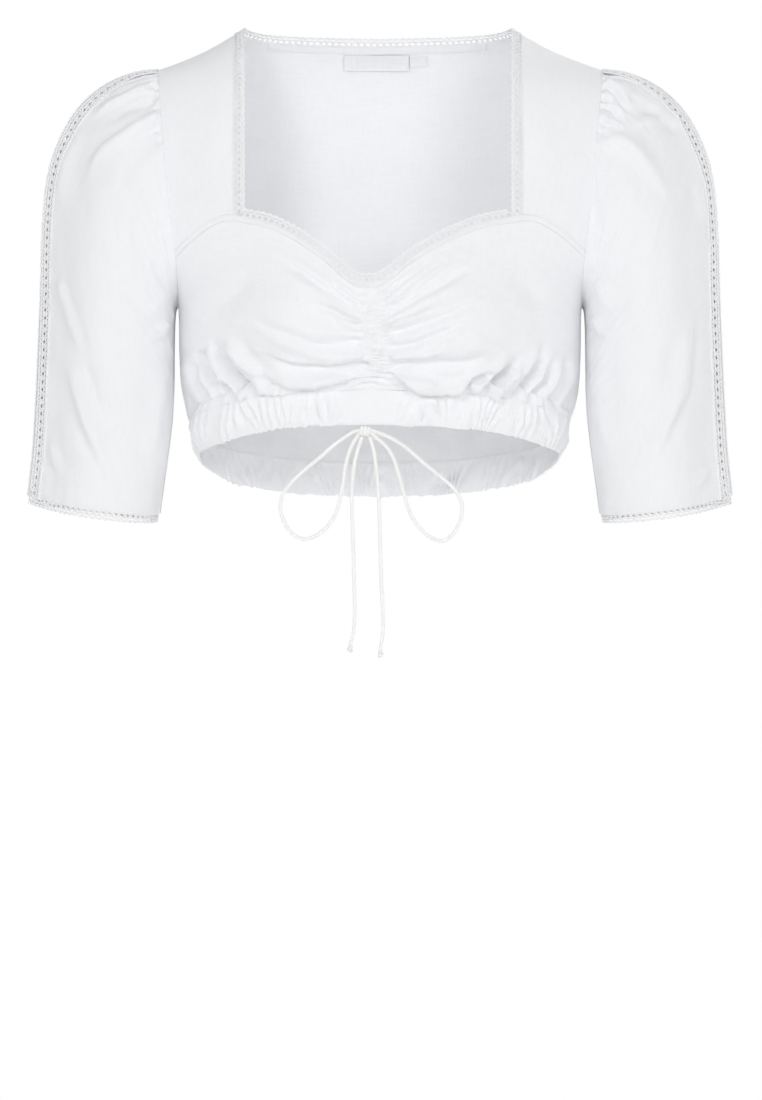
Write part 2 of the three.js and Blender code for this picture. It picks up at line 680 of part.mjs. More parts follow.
// Lace edging: a strip that continues the cloth past an edge, with a scalloped free side.
function edging(places, gap = SEAM_GAP) {
  const points = places.map((place) => place.base);
  const outward = points.map((point, i) => {
    const before = points[Math.max(0, i - 1)];
    const after = points[Math.min(points.length - 1, i + 1)];
    const along = after.clone().sub(before).normalize();
    return places[i].normal.clone().cross(along).normalize();
  });
  const columns = points.map((point, i) => i);
  const placeAt = (i, v) => {
    const scallop = i % 2 === 1 ? SCALLOP_DEPTH : 0;
    const reach = v === 0 ? gap : gap + LACE_WIDTH + scallop;
    const base = points[i].clone().addScaledVector(outward[i], reach);
    return { base, normal: places[i].normal, relief: 0 };
  };
  return wallGeometry(placeAt, columns, [0, 1], -LACE_SINK, LACE_WALL + LACE_SINK);
}

// An even number of edging steps, two to a scallop, over a length.
const scallopSteps = (length) => 2 * Math.round(length / SCALLOP_PITCH);

function bodyPlace(side, x, z) {
  const angle = angleAt(x, z);
  return { base: bodyPoint(side, angle, z), normal: bodyNormal(side, angle, z) };
}

function sweetheartLace() {
  const endX = 103;
  const count = scallopSteps(260);
  const xs = steps({ from: -endX, to: endX, count });
  return edging(xs.map((x) => bodyPlace(FRONT, x, bustEdge(x))));
}

function strapLace(sideX) {
  const lowZ = bustEdge(NECK_EDGE_X) + 1;
  const count = scallopSteps(150);
  const places = steps({ from: 0, to: 1, count }).map((t) => {
    const z = mix(NECK_POINT_Z, lowZ, t ** 1.25);
    const place = bodyPlace(FRONT, sideX * NECK_EDGE_X, z);
    if (t === 0) place.normal.setY(0).normalize();
    return place;
  });
  return edging(sideX > 0 ? places.reverse() : places);
}

function backNeckLace() {
  const places = neckPlaces(3 * BACK_NECK_COLUMNS).map((x) => {
    const place = bodyPlace(BACK, x, backNeck(x));
    if (Math.abs(x) === NECK_EDGE_X) place.normal.setY(0).normalize();
    return place;
  });
  return edging(places.reverse(), CURVED_SEAM_GAP);
}

function cuffLace() {
  const count = scallopSteps(310);
  const places = steps({ from: 0, to: 2, count }).map((w) => sleevePlace(w, CUFF_V));
  return closedEdging(places.slice(0, count));
}

// Edging round a closed cuff: the strip's two ends are one column.
function closedEdging(places) {
  const count = places.length;
  const vertices = [];
  const index = [];
  const levels = [
    { reach: 0, offset: -LACE_SINK },
    { reach: 1, offset: -LACE_SINK },
    { reach: 1, offset: -LACE_SINK - LACE_WALL },
    { reach: 0, offset: -LACE_SINK - LACE_WALL },
  ];
  places.forEach((place, i) => {
    const before = places[(i + count - 1) % count].base;
    const after = places[(i + 1) % count].base;
    const along = after.clone().sub(before).normalize();
    const down = place.normal.clone().cross(along).normalize();
    if (down.z > 0) down.negate();
    const scallop = i % 2 === 1 ? SCALLOP_DEPTH : 0;
    for (const { reach, offset } of levels) {
      const out = SEAM_GAP + reach * (LACE_WIDTH + scallop);
      const point = place.base.clone().addScaledVector(down, out).addScaledVector(place.normal, offset);
      vertices.push(point.x, point.y, point.z);
    }
  });
  for (let i = 0; i < count; i += 1) {
    const next = (i + 1) % count;
    for (let k = 0; k < 4; k += 1) {
      const a = 4 * i + k;
      const b = 4 * i + ((k + 1) % 4);
      const c = 4 * next + ((k + 1) % 4);
      const d = 4 * next + k;
      index.push(a, b, c, a, c, d);
    }
  }
  return facingOut(vertices, index);
}

// Narrow binding on the inside of the back neck.
function backNeckBinding() {
  const endX = 88;
  const placeAt = (x, v) => {
    const z = backNeck(x) - 0.6 - 5 * v;
    const place = bodyPlace(BACK, x, z);
    return { ...place, relief: -CLOTH_WALL - CURVED_SEAM_GAP };
  };
  return wallGeometry(placeAt, steps({ from: -endX, to: endX, count: 26 }), [0, 1], 0, 1);
}

// A bare label that lies on the inside of the back.
function label({ fromX, toX, topZ, height }) {
  const placeAt = (x, v) => {
    const place = bodyPlace(BACK, x - driftAt(BACK, x), topZ - height * v);
    return { ...place, relief: -CLOTH_WALL - SEAM_GAP };
  };
  return wallGeometry(placeAt, steps({ from: fromX, to: toX, count: 5 }), [0, 0.5, 1], 0, 0.8);
}

// A cord along a smooth route: a polygon drawn along it, closed at both ends.
function cordGeometry(points) {
  const path = new THREE.CatmullRomCurve3(points.map((p) => new THREE.Vector3(...p)));
  const section = new THREE.Shape();
  for (let i = 0; i < CORD_SIDES; i += 1) {
    const turn = (2 * Math.PI * i) / CORD_SIDES;
    const x = (CORD_DIAMETER / 2) * Math.cos(turn);
    const y = (CORD_DIAMETER / 2) * Math.sin(turn);
    if (i === 0) section.moveTo(x, y);
    else section.lineTo(x, y);
  }
  section.closePath();
  const stepCount = Math.round(path.getLength() / CORD_STEP);
  return new THREE.ExtrudeGeometry(section, { steps: stepCount, extrudePath: path, bevelEnabled: false });
}

function ballGeometry(x, y, z, halfX, halfY, halfZ) {
  const ball = new THREE.SphereGeometry(1, 16, 8);
  ball.scale(halfX, halfY, halfZ);
  ball.translate(x, y, z);
  return ball;
}

function endKnot(route) {
  const [x, y, z] = route.points[route.points.length - 1];
  const r = END_KNOT_RADIUS;
  return ballGeometry(x, y, z - r - SEAM_GAP, r, r, r);
}

const blouse = new THREE.Group();
blouse.add(
  piece("front_bust", frontBust(), cotton()),
  piece("bust_band", bustBand(), cotton()),
  piece("front_shoulder_left", frontShoulder(-1), cotton()),
  piece("front_shoulder_right", frontShoulder(1), cotton()),
  piece("back", backPanel(), cotton()),
  piece("hem_band_front", hemBand(FRONT), cotton()),
  piece("hem_band_back", hemBand(BACK), cotton()),
  piece("back_neck_binding", backNeckBinding(), cotton()),
  piece("neck_lace_front", sweetheartLace(), laceThread()),
  piece("neck_lace_left", strapLace(-1), laceThread()),
  piece("neck_lace_right", strapLace(1), laceThread()),
  piece("neck_lace_back", backNeckLace(), laceThread()),
);

const sleeveParts = [
  { name: "sleeve_front", geometry: sleeveFront(), finish: cotton },
  { name: "sleeve_back", geometry: sleeveBack(), finish: cotton },
  { name: "sleeve_insertion", geometry: sleeveInsertion(), finish: laceThread },
  { name: "cuff_lace", geometry: cuffLace(), finish: laceThread },
];
for (const { name, geometry, finish } of sleeveParts) {
  blouse.add(piece(name + "_right", geometry, finish()));
  blouse.add(piece(name + "_left", mirrored(geometry), finish()));
}

for (const sizes of LABELS) {
  blouse.add(piece(sizes.name, label(sizes), labelSatin()));
}

const { x: knotX, y: knotY, z: knotZ, halfX, halfY, halfZ } = KNOT;
blouse.add(piece("tie_knot", ballGeometry(knotX, knotY, knotZ, halfX, halfY, halfZ), cordCotton()));
for (const route of CORD_ROUTES) {
  blouse.add(piece(route.name, cordGeometry(route.points), cordCotton()));
  if (route.name.startsWith("tie_tail")) {
    blouse.add(piece(route.name.replace("tail", "end"), endKnot(route), cordCotton()));
  }
}

export default blouse;
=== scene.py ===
"""Dirndl blouse of white cotton batiste, worn by a figure that is not there.

Every panel, band, lace and cord is worked out in millimetres from the same few sizes as its solid, with
finer gathers and creases, and is turned to metres where its mesh is made.
"""

import logging
import math
from collections.abc import Callable, Sequence
from dataclasses import dataclass
from enum import Enum
from functools import partial

import bpy
import numpy as np
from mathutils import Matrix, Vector


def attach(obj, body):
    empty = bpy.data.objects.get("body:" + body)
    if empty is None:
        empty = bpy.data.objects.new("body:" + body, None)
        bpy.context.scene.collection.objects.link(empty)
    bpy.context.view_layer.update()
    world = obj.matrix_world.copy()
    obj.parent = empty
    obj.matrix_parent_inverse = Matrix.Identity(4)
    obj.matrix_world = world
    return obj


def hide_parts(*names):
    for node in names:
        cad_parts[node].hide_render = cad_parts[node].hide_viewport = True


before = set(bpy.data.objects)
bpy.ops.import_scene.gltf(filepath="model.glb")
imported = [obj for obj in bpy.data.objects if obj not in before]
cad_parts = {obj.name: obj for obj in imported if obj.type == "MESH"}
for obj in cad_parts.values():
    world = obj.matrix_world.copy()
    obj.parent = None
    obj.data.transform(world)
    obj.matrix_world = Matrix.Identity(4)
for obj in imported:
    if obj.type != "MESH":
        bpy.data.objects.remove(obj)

LOG = logging.getLogger("blouse")
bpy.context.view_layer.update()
BODY = "root"
MM = 0.001
FULL_TURN = 2 * math.pi
Array = np.ndarray
Values = float | np.ndarray
Points = Sequence[Sequence[float]]
Piece = bpy.types.Object
Material = bpy.types.Material


class Side(Enum):
    """Front or back of the garment, with the sign of its depth."""

    FRONT = -1
    BACK = 1


class Hand(Enum):
    """Side of the picture that a piece is on, with the sign of its x."""

    LEFT = -1
    RIGHT = 1

    @property
    def word(self) -> str:
        """Left or right, as in the names of pieces."""
        return self.name.lower()


def mix(low: Values, high: Values, share: Values) -> Values:
    """Value between two others."""
    return low + (high - low) * share


def smooth(low: float, high: float, value: Values) -> Array:
    """Soft step from 0 at low to 1 at high."""
    share = np.clip((np.asarray(value, float) - low) / (high - low), 0.0, 1.0)
    return share * share * (3.0 - 2.0 * share)


def bump(distance: Values, spread: float) -> Array:
    """Bell of height 1 and the given spread."""
    return np.exp(-((np.asarray(distance, float) / spread) ** 2))


def unit(vectors: Array) -> Array:
    """Vectors at length 1."""
    return vectors / np.linalg.norm(vectors, axis=-1, keepdims=True)


def run_length(points: Array, axis: int = 0) -> Array:
    """Distance run along a line, or along each line of a grid."""
    steps = np.linalg.norm(np.diff(points, axis=axis), axis=-1)
    return np.concatenate([np.zeros_like(steps.take([0], axis)), np.cumsum(steps, axis=axis)], axis)


def resampled(values: Array, run: Array, places: Array) -> Array:
    """Vectors of a line read at other distances along it."""
    return np.stack([np.interp(places, run, values[:, k]) for k in range(3)], axis=1)


@dataclass(frozen=True)
class Table:
    """Short table of named columns, read smoothly between its rows by the first column."""

    columns: tuple[str, ...]
    rows: tuple[tuple[float, ...], ...]

    def read(self, at: Values, column: str) -> Array:
        """Reads a column.

        Args:
            at: Places along the first column.
            column: Name of the column to read.

        Returns:
            The column's values at those places.
        """
        data = np.array(self.rows, float)
        upward = 1.0 if data[1, 0] > data[0, 0] else -1.0
        keys = data[:, 0] * upward
        values = data[:, self.columns.index(column)]
        after = np.minimum(np.arange(len(keys)) + 1, len(keys) - 1)
        before = np.maximum(np.arange(len(keys)) - 1, 0)
        slopes = (values[after] - values[before]) / (keys[after] - keys[before])
        place = np.clip(np.asarray(at, float) * upward, keys[0], keys[-1])
        row = np.searchsorted(keys[1:-1], place, side="left")
        span = keys[row + 1] - keys[row]
        t = (place - keys[row]) / span
        bend = (t**3 - 2 * t**2 + t) * slopes[row] + (t**3 - t**2) * slopes[row + 1]
        ends = values[row] * (2 * t**3 - 3 * t**2 + 1) + values[row + 1] * (3 * t**2 - 2 * t**3)
        return ends + span * bend


# Rings of the body, seen as an oval at each height: half-width at the side, depth to front and back.
BODY_RINGS = Table(
    ("z", "half_width", "front", "back"),
    (
        (40, 224, 98, 86), (-34, 215, 100, 87), (-80, 206, 102, 87), (-121, 197, 104, 87),
        (-160, 189, 106, 86), (-186, 176, 108, 84), (-205, 166, 109, 82), (-222, 161.5, 109, 80),
        (-262, 160.5, 107, 78), (-286, 159, 102, 78), (-300, 156, 98, 79), (-313.5, 151.5, 95, 80),
    ),
)

# The shoulder line, out from the neck edge.
RIDGE = Table(("x", "z"), ((112, -4), (136, -17.5), (157, -26.5), (178, -34), (200, -41)))

# The cut edge of the back neck, under its lace.
BACK_NECK = Table(("x", "z"), ((0, -13.5), (60, -12), (90, -10), (105, -7), (112, -4)))

# The armhole seam seen from the front.
ARMHOLE = Table(
    ("z", "x"),
    ((-34, 178), (-75, 174.5), (-121, 171), (-158, 167), (-183, 163.8), (-205, 162.2), (-222, 161.5)),
)

# The top of the bust band: sweetheart dip, strap corner, bust seam.
BUST_EDGE = Table(
    ("x", "z"),
    (
        (0, -204), (9, -203), (19, -197), (35, -183.5), (46, -176), (64, -165.5), (86, -156.3),
        (107, -152.3), (118, -150.8), (127, -152.3), (138, -158), (150, -167), (165, -181),
    ),
)

# The lower edge of the hem band by the angle round the body.
HEM_EDGE = Table(
    ("degrees", "FRONT", "BACK"),
    (
        (0, -318.5, -375), (24, -319.5, -372.6), (41, -324, -368), (56, -330.5, -362.5), (73, -337, -351.5),
        (90, -341, -341),
    ),
)

# Rings of the sleeve from the armhole to the cuff: outer and inner point, depth to front and back.
SLEEVE_RINGS = Table(
    ("v", "out_x", "out_z", "in_x", "in_z", "front", "back", "mid_y"),
    (
        (0, 178, -34, 161.5, -222, 52, 58, 0), (1 / 11, 199, -37.5, 163.5, -226, 56, 61, 0),
        (2 / 11, 222, -48.5, 164.2, -232, 59, 63, 0), (3 / 11, 241, -66, 164.6, -240, 61, 63, 0),
        (4 / 11, 255, -90, 164.8, -250, 61, 62, -1), (5 / 11, 264.5, -120, 164.9, -262, 59, 60, -2),
        (6 / 11, 268.5, -160, 165, -276, 57, 57, -3), (7 / 11, 269.8, -205, 165.2, -292, 54, 55, -4),
        (8 / 11, 271.5, -250, 166.2, -311, 52, 53, -5), (9 / 11, 273.5, -295, 168.6, -333, 50, 51, -6),
        (10 / 11, 276, -337, 172, -358, 48, 49, -7), (1, 280, -374, 176, -388, 46, 47, -8),
    ),
)


@dataclass(frozen=True)
class Crease:
    """Soft ridge or trough through given points. A height below 0 is a trough."""

    points: tuple[tuple[float, float], ...]
    height: float
    spread: float
    lean: float = 0.0
    start: float = 0.3
    end: float = 0.4

    def relief(self, across: Array, up: Array) -> Array:
        """Height of the crease.

        Args:
            across: First coordinate of each place.
            up: Second coordinate of each place.

        Returns:
            Height at each place, with a softer rim beside the crease.
        """
        path = np.array(self.points, float)
        lengths = np.linalg.norm(np.diff(path, axis=0), axis=1)
        total = lengths.sum()
        nearest = np.full(np.shape(across), 1e9)
        signed = np.zeros(np.shape(across))
        share = np.zeros(np.shape(across))
        run = 0.0
        for (ax, az), (bx, bz), length in zip(path[:-1], path[1:], lengths):
            along = np.clip(((across - ax) * (bx - ax) + (up - az) * (bz - az)) / length**2, 0.0, 1.0)
            dx = across - mix(ax, bx, along)
            dz = up - mix(az, bz, along)
            away = np.hypot(dx, dz)
            turn = np.sign((bx - ax) * dz - (bz - az) * dx)
            closer = away < nearest
            nearest = np.where(closer, away, nearest)
            signed = np.where(closer, away * turn, signed)
            share = np.where(closer, (run + along * length) / total, share)
            run += length
        spread = self.spread * (1.0 + self.lean * np.sign(signed))
        fade = smooth(-0.001, self.start, share) * (1.0 - smooth(1.0 - self.end, 1.001, share))
        core = np.exp(-((nearest / spread) ** 2))
        rim = np.exp(-(((nearest - 2.1 * spread) / (1.3 * spread)) ** 2))
        return self.height * fade * (core - 0.32 * rim)


def creased(creases: Sequence[Crease], across: Array, up: Array) -> Array:
    """Sum of several creases."""
    total = np.zeros(np.shape(across))
    for crease in creases:
        total = total + crease.relief(across, up)
    return total


def hand_placed(*rows: tuple) -> tuple[Crease, ...]:
    """Creases from rows of points, height, spread and, where they aren't the usual, lean, start and end.
    The points are one run of numbers, two to a point."""
    return tuple(Crease(tuple(zip(run[::2], run[1::2])), *rest) for run, *rest in rows)


def rumple(across: Array, up: Array, size: float, seed: int) -> Array:
    """Soft uneven waves of cloth, about -1 to 1.

    Args:
        across: First coordinate of each place, in mm.
        up: Second coordinate of each place, in mm.
        size: Usual distance between waves, in mm.
        seed: Fixed seed of the waves' directions.

    Returns:
        Height of the waves at each place.
    """
    random = np.random.default_rng(seed)
    total = np.zeros(np.shape(across))
    waves = 9
    for _ in range(waves):
        turn = random.uniform(0, FULL_TURN)
        pitch = size * random.uniform(0.7, 1.6)
        phase = random.uniform(0, FULL_TURN)
        run = across * math.cos(turn) + up * math.sin(turn)
        cross = up * math.cos(turn) - across * math.sin(turn)
        total = total + np.sin(FULL_TURN * run / pitch + phase + 0.8 * np.sin(cross / size + phase))
    return total / math.sqrt(waves)


@dataclass(frozen=True)
class HemGathers:
    """Uneven gathers of the elastic hem, told by the distance round the body. The front is flat up to
    flat_from off the middle. view_half and arc_radius space the gathers as they look from the front."""

    pitch: float = 8.6
    flat_from: float = 15.0
    flat_to: float = 25.0
    seam_height: float = 1.5
    view_half: float = 150.0
    arc_radius: float = 123.0

    def wave(self, side: Side, along: Array, down: Values = 0.0) -> Array:
        """Height of the gathers, 0 to 1. They are spaced as evenly as they look from the front.

        Args:
            side: Front, with a flat stretch in its middle, or back.
            along: Distance from the middle, in mm.
            down: Distance below the seam, in mm, along which each gather leans and fades in its own way.

        Returns:
            Share of a gather's full height at each place.
        """
        shift = 0.0 if side is Side.FRONT else 1.7
        run = 0.25 * along + 0.75 * self.view_half * np.sin(along / self.arc_radius)
        lean = down * (0.045 * np.sin(run / 12.0 + shift) + 0.03 * np.sin(run / 4.7 + 1.0))
        phase = run / self.pitch + 0.8 * np.sin(run / 17.0 + shift) + 0.4 * np.sin(run / 5.3 + 2.0) + lean
        ridge = (0.5 + 0.5 * np.cos(FULL_TURN * phase)) ** 1.6
        fading = np.sin(run / 8.3 + 2.2 * shift + 1.0 + down / 7.0) * np.sin(run / 29.0 + 0.5 - down / 19.0)
        strength = 0.66 + 0.34 * fading
        broad = 0.22 + 0.22 * np.sin(run / 4.4 + down / 6.5 + 2.4 * np.sin(run / 31.0 + shift))
        gathered = 1.0
        if side is Side.FRONT:
            gathered = smooth(self.flat_from, self.flat_to, np.abs(along))
        return (ridge * strength + broad) * gathered / 1.3

    def above_hem(self, side: Side, along: Array, above: Array, height: float, reach: Array) -> Array:
        """Relief of the gathers that run up from the hem band's seam and die out over their reach."""
        full = mix(self.seam_height, height, smooth(0.0, 5.0, above))
        gathers = self.wave(side, along, -above) - 0.25 * smooth(0.0, 6.0, above)
        return full * gathers * np.exp(-above / reach)


@dataclass(frozen=True)
class BodyForm:
    """Surface of the blouse's body, worked out from its rings, edges and cups."""

    seam_gap: float = 0.3
    shoulder_tip_x: float = 178.0
    neck_edge_x: float = 112.0
    neck_point_z: float = -4.0
    neck_rise: float = 36.0
    armpit_z: float = -222.0
    shoulder_round: float = 55.0
    cup_x: float = 72.0
    cup_z: float = -232.0
    cup_depth: float = 20.0
    cup_spread: float = 46.0
    pouch_depth: float = 11.0
    bust_band_width: float = 5.0
    hem_band_height: float = 27.5
    hem_side_top_z: float = -313.5
    body_drift: float = 3.0
    centre_drift: float = 7.0
    drift_reach: float = 160.0

    def shoulder_line(self, x: Array) -> Array:
        """Height of the shoulder seam, and of the line that joins the neck points."""
        across = np.abs(x)
        neck = self.neck_point_z + self.neck_rise * (1.0 - (across / self.neck_edge_x) ** 2)
        return np.where(across >= self.neck_edge_x, RIDGE.read(across, "z"), neck)

    def hem_top(self, side: Side, angle: Array) -> Array:
        """Height of the hem band's upper edge."""
        degrees = np.clip(np.abs(np.degrees(angle)), 0.0, 90.0)
        return HEM_EDGE.read(degrees, side.name) + self.hem_band_height

    def half_width(self, z: Array) -> Array:
        """Half-width of the body at a height."""
        return BODY_RINGS.read(z, "half_width")

    def drift(self, side: Side, x: Array) -> Array:
        """How far the photographed blouse hangs off its middle."""
        body = -self.body_drift * np.maximum(0.0, 1.0 - (x / self.drift_reach) ** 2)
        if side is Side.BACK:
            return body
        return body - self.centre_drift * np.maximum(0.0, 1.0 - (x / self.neck_edge_x) ** 2) ** 2

    def point(self, side: Side, angle: Array, z: Array) -> Array:
        """Points of the cloth's outer face.

        Args:
            side: Front or back.
            angle: Angle round the body from the middle, towards +X.
            z: Height.

        Returns:
            Points in mm, in an array whose last axis is x, y, z.
        """
        near_hem = smooth(-290.0, -225.0, z)
        ring_z = z - (self.hem_top(side, angle) - self.hem_side_top_z) * (1.0 - near_hem)
        x = self.half_width(ring_z) * np.sin(angle)
        depth = BODY_RINGS.read(ring_z, side.name.lower())
        below = np.maximum(0.0, self.shoulder_line(x) - z)
        rounding = np.sqrt(1.0 - np.exp(-below / self.shoulder_round))
        y = self.seam_gap / 2 + depth * np.cos(angle) * rounding
        if side is Side.FRONT:
            cups = bump(x - self.cup_x, self.cup_spread) + bump(x + self.cup_x, self.cup_spread)
            above_hem = z - self.hem_top(side, angle)
            cup_height = bump(z - self.cup_z, self.cup_spread) * smooth(0.0, 40.0, above_hem)
            y = y + self.cup_depth * cups * cup_height * rounding
            pouch_side = smooth(10.0, 36.0, np.abs(x)) * np.maximum(0.0, np.cos(angle)) ** 0.6
            pouch_height = smooth(0.0, 8.0, above_hem) * np.exp(-np.maximum(0.0, above_hem) / 24.0)
            y = y + self.pouch_depth * pouch_side * pouch_height
        return np.stack(np.broadcast_arrays(x + self.drift(side, x), side.value * y, z), axis=-1)

    def normal(self, side: Side, angle: Array, z: Array) -> Array:
        """Outward normals at the same places as point."""
        turn = 0.012
        rise = 1.2
        across = self.point(side, angle + turn, z) - self.point(side, angle - turn, z)
        up = self.point(side, angle, z + rise) - self.point(side, angle, z - rise)
        return -side.value * unit(np.cross(across, up))

    def face(self, side: Side, angle: Array, z: Array) -> tuple[Array, Array]:
        """Points and normals together."""
        return self.point(side, angle, z), self.normal(side, angle, z)

    def angle_at(self, x: Array, z: Array) -> Array:
        """Angle of a place that is known by its distance from the middle."""
        return np.arcsin(np.clip(x / self.half_width(z), -1.0, 1.0))

    def edge_angle(self, z: Array) -> Array:
        """Widest angle of a panel: the armhole above, the side seam below."""
        return np.where(z > self.armpit_z, self.angle_at(ARMHOLE.read(z, "x"), z), math.pi / 2)

    def bust_edge(self, x: Array) -> Array:
        """Height of the bust band's upper edge."""
        return BUST_EDGE.read(np.abs(x), "z")

    @property
    def bust_edge_end(self) -> float:
        """Where the bust band meets the armhole."""
        return float(ARMHOLE.read(-181.0, "x")) - 0.5


FORM = BodyForm()
GATHERS = HemGathers()


@dataclass
class Surface:
    """Grid of places on a cloth's outer face, with its normals."""

    base: Array
    normal: Array


@dataclass(frozen=True)
class SleeveForm:
    """Surface of the right sleeve. w goes round from the outer fold over the front to the underarm
    seam at 1 and back to 2, and v goes from the armhole to the cuff."""

    armhole_top_z: float = -34.0
    armpit_z: float = -222.0
    pressed_fold: float = 0.8
    cuff_front_drop: float = 5.0
    ease: float = 0.6
    seam_ease: float = -0.45
    seam_share: float = 0.03
    cap_gathers: float = 15.0
    cap_gather_height: float = 2.5
    cap_gather_span: float = 0.34
    cap_gather_reach: float = 0.036
    broad_height: float = 1.3
    broad_reach: float = 0.06
    broad_share: float = 0.37

    def armhole_point(self, w: Array) -> Array:
        """Point of the armhole seam."""
        mid = (self.armhole_top_z + self.armpit_z) / 2
        half = (self.armhole_top_z - self.armpit_z) / 2
        z = mid + half * np.cos(math.pi * w)
        angle = FORM.angle_at(ARMHOLE.read(z, "x"), z)
        front = FORM.point(Side.FRONT, angle, z)
        back = FORM.point(Side.BACK, angle, z)
        return np.where((w <= 1.0)[..., None], front, back)

    def ring(self, w: Array, v: Array) -> Array:
        """Point of a sleeve ring, before it is held at the armhole."""
        front = w <= 1.0
        half = np.where(front, w, 2.0 - w)
        pressed = self.pressed_fold * smooth(0.0, 0.35, v)
        turned = np.cos(math.pi * half)
        across = mix(turned, 1.0 - 2.0 * half, pressed * (1.0 - smooth(0.1, 0.9, half)))
        pinch = np.where(front, 0.35, 0.15) * pressed * np.maximum(0.0, turned) ** 2
        deep = np.sin(math.pi * half) * (1.0 - pinch)
        sizes = (SLEEVE_RINGS.read(v, name) for name in SLEEVE_RINGS.columns[1:])
        out_x, out_z, in_x, in_z, front_depth, back_depth, mid_y = sizes
        x = (out_x + in_x) / 2 + (out_x - in_x) / 2 * across
        drop = np.where(front, self.cuff_front_drop * v * v * np.sin(math.pi * half), 0.0)
        z = (out_z + in_z) / 2 + (out_z - in_z) / 2 * across - drop
        depth = np.where(front, -front_depth, back_depth)
        return np.stack(np.broadcast_arrays(x, mid_y + depth * deep, z), axis=-1)

    def point(self, w: Array, v: Array) -> Array:
        """Points of the smooth sleeve."""
        w, v = np.broadcast_arrays(np.asarray(w, float), np.asarray(v, float))
        around = np.mod(w, 2.0)
        inside = np.clip(v, 0.0, 1.0)
        ring = self.ring(around, inside)
        to_seam = self.armhole_point(around) - self.ring(around, np.zeros_like(around))
        hold = np.maximum(0.0, 1.0 - v / 0.3) ** 2
        place = ring + to_seam * hold[..., None]
        place[..., 0] += mix(self.seam_ease, self.ease, smooth(0.0, self.seam_share, v))
        return place

    def surface(self, w: Array, v: Array) -> Surface:
        """Smooth points and outward normals."""
        w, v = np.broadcast_arrays(np.asarray(w, float), np.asarray(v, float))
        step_w = 0.012
        step_v = 0.006
        round_it = self.point(w + step_w, v) - self.point(w - step_w, v)
        along = self.point(w, np.minimum(1.0, v + step_v)) - self.point(w, np.maximum(0.0, v - step_v))
        normal = unit(np.cross(along, round_it))
        normal[..., 0] *= smooth(-0.02, 0.02, v - 0.0201)
        return Surface(self.point(w, v), unit(normal))

    def girth_share(self, width: float, v: Array) -> Array:
        """Share of the girth that a width takes at the outer fold."""
        probe = 0.02
        step = self.point(np.full_like(v, probe), v) - self.point(np.zeros_like(v), v)
        return width * probe / np.linalg.norm(step, axis=-1)


SLEEVE = SleeveForm()


@dataclass(frozen=True)
class Finish:
    """Look of a cotton cloth or thread. glow is the share of light that passes into it, glow_mm how far."""

    name: str
    slot: str
    colour: str
    shade: str
    roughness: float
    sheen: float
    thread_mm: float
    weave_depth: float
    slub_mm: float
    twisted: bool = False
    glow: float = 0.22
    glow_mm: float = 1.2


# Fine plain-woven cotton: matt, with slubs that run along both threads and a soft, slightly bluish white.
# Its real thread spacing is about 0.3 mm, drawn at 0.55 mm so that it shows up close.
BATISTE = Finish("cotton batiste", "cotton", "F8F9FB", "F4F5F8", 0.92, 0.12, 0.55, 0.035, 5.0)
# Crocheted cotton thread of the lace: rounder and a little brighter than the cloth, with a twist.
LACE_THREAD = Finish(
    "mercerised lace cotton", "lace", "FEFEFF", "F9FAFC", 0.78, 0.1, 0.5, 0.015, 2.2, True, 0.3, 0.6
)
# Woven satin tape of the labels: long floats, so smoother and glossier.
SATIN = Finish("woven label satin", "label_satin", "F6F7FA", "EFF1F5", 0.55, 0.08, 0.32, 0.05, 6.0)
# Braided cotton cord, warmer than the cloth.
CORD_COTTON = Finish(
    "braided cotton cord", "cord", "FDFDFB", "F8F7F4", 0.85, 0.12, 0.9, 0.03, 3.0, True, 0.3, 1.2
)


# Height of a slub as a share of a thread's.
SLUB_RELIEF = 0.25
# Waves of noise across the length of one slub.
SLUBS_ACROSS = 3.0
# Scale of a band texture whose bands lie one unit apart.
BANDS_PER_UNIT = math.pi / 10.0


def linear(colour: str) -> tuple[float, float, float, float]:
    """Turns an sRGB hex colour to linear light."""
    channels = [int(colour[i : i + 2], 16) / 255 for i in (0, 2, 4)]
    light = [c / 12.92 if c <= 0.04045 else ((c + 0.055) / 1.055) ** 2.4 for c in channels]
    return (*light, 1.0)


def add_node(tree: bpy.types.NodeTree, kind: str, inputs: dict | None = None, **settings) -> bpy.types.Node:
    """Adds a node.

    Args:
        tree: Node tree that takes it.
        kind: Type name of the node.
        inputs: Values, output sockets, or nodes for their first output, by input name or number.
        **settings: Properties of the node itself.

    Returns:
        The new node.
    """
    node = tree.nodes.new(kind)
    for name, value in settings.items():
        setattr(node, name, value)
    for key, value in (inputs or {}).items():
        if isinstance(value, bpy.types.Node):
            value = value.outputs[0]
        if isinstance(value, bpy.types.NodeSocket):
            tree.links.new(value, node.inputs[key])
        else:
            node.inputs[key].default_value = value
    return node


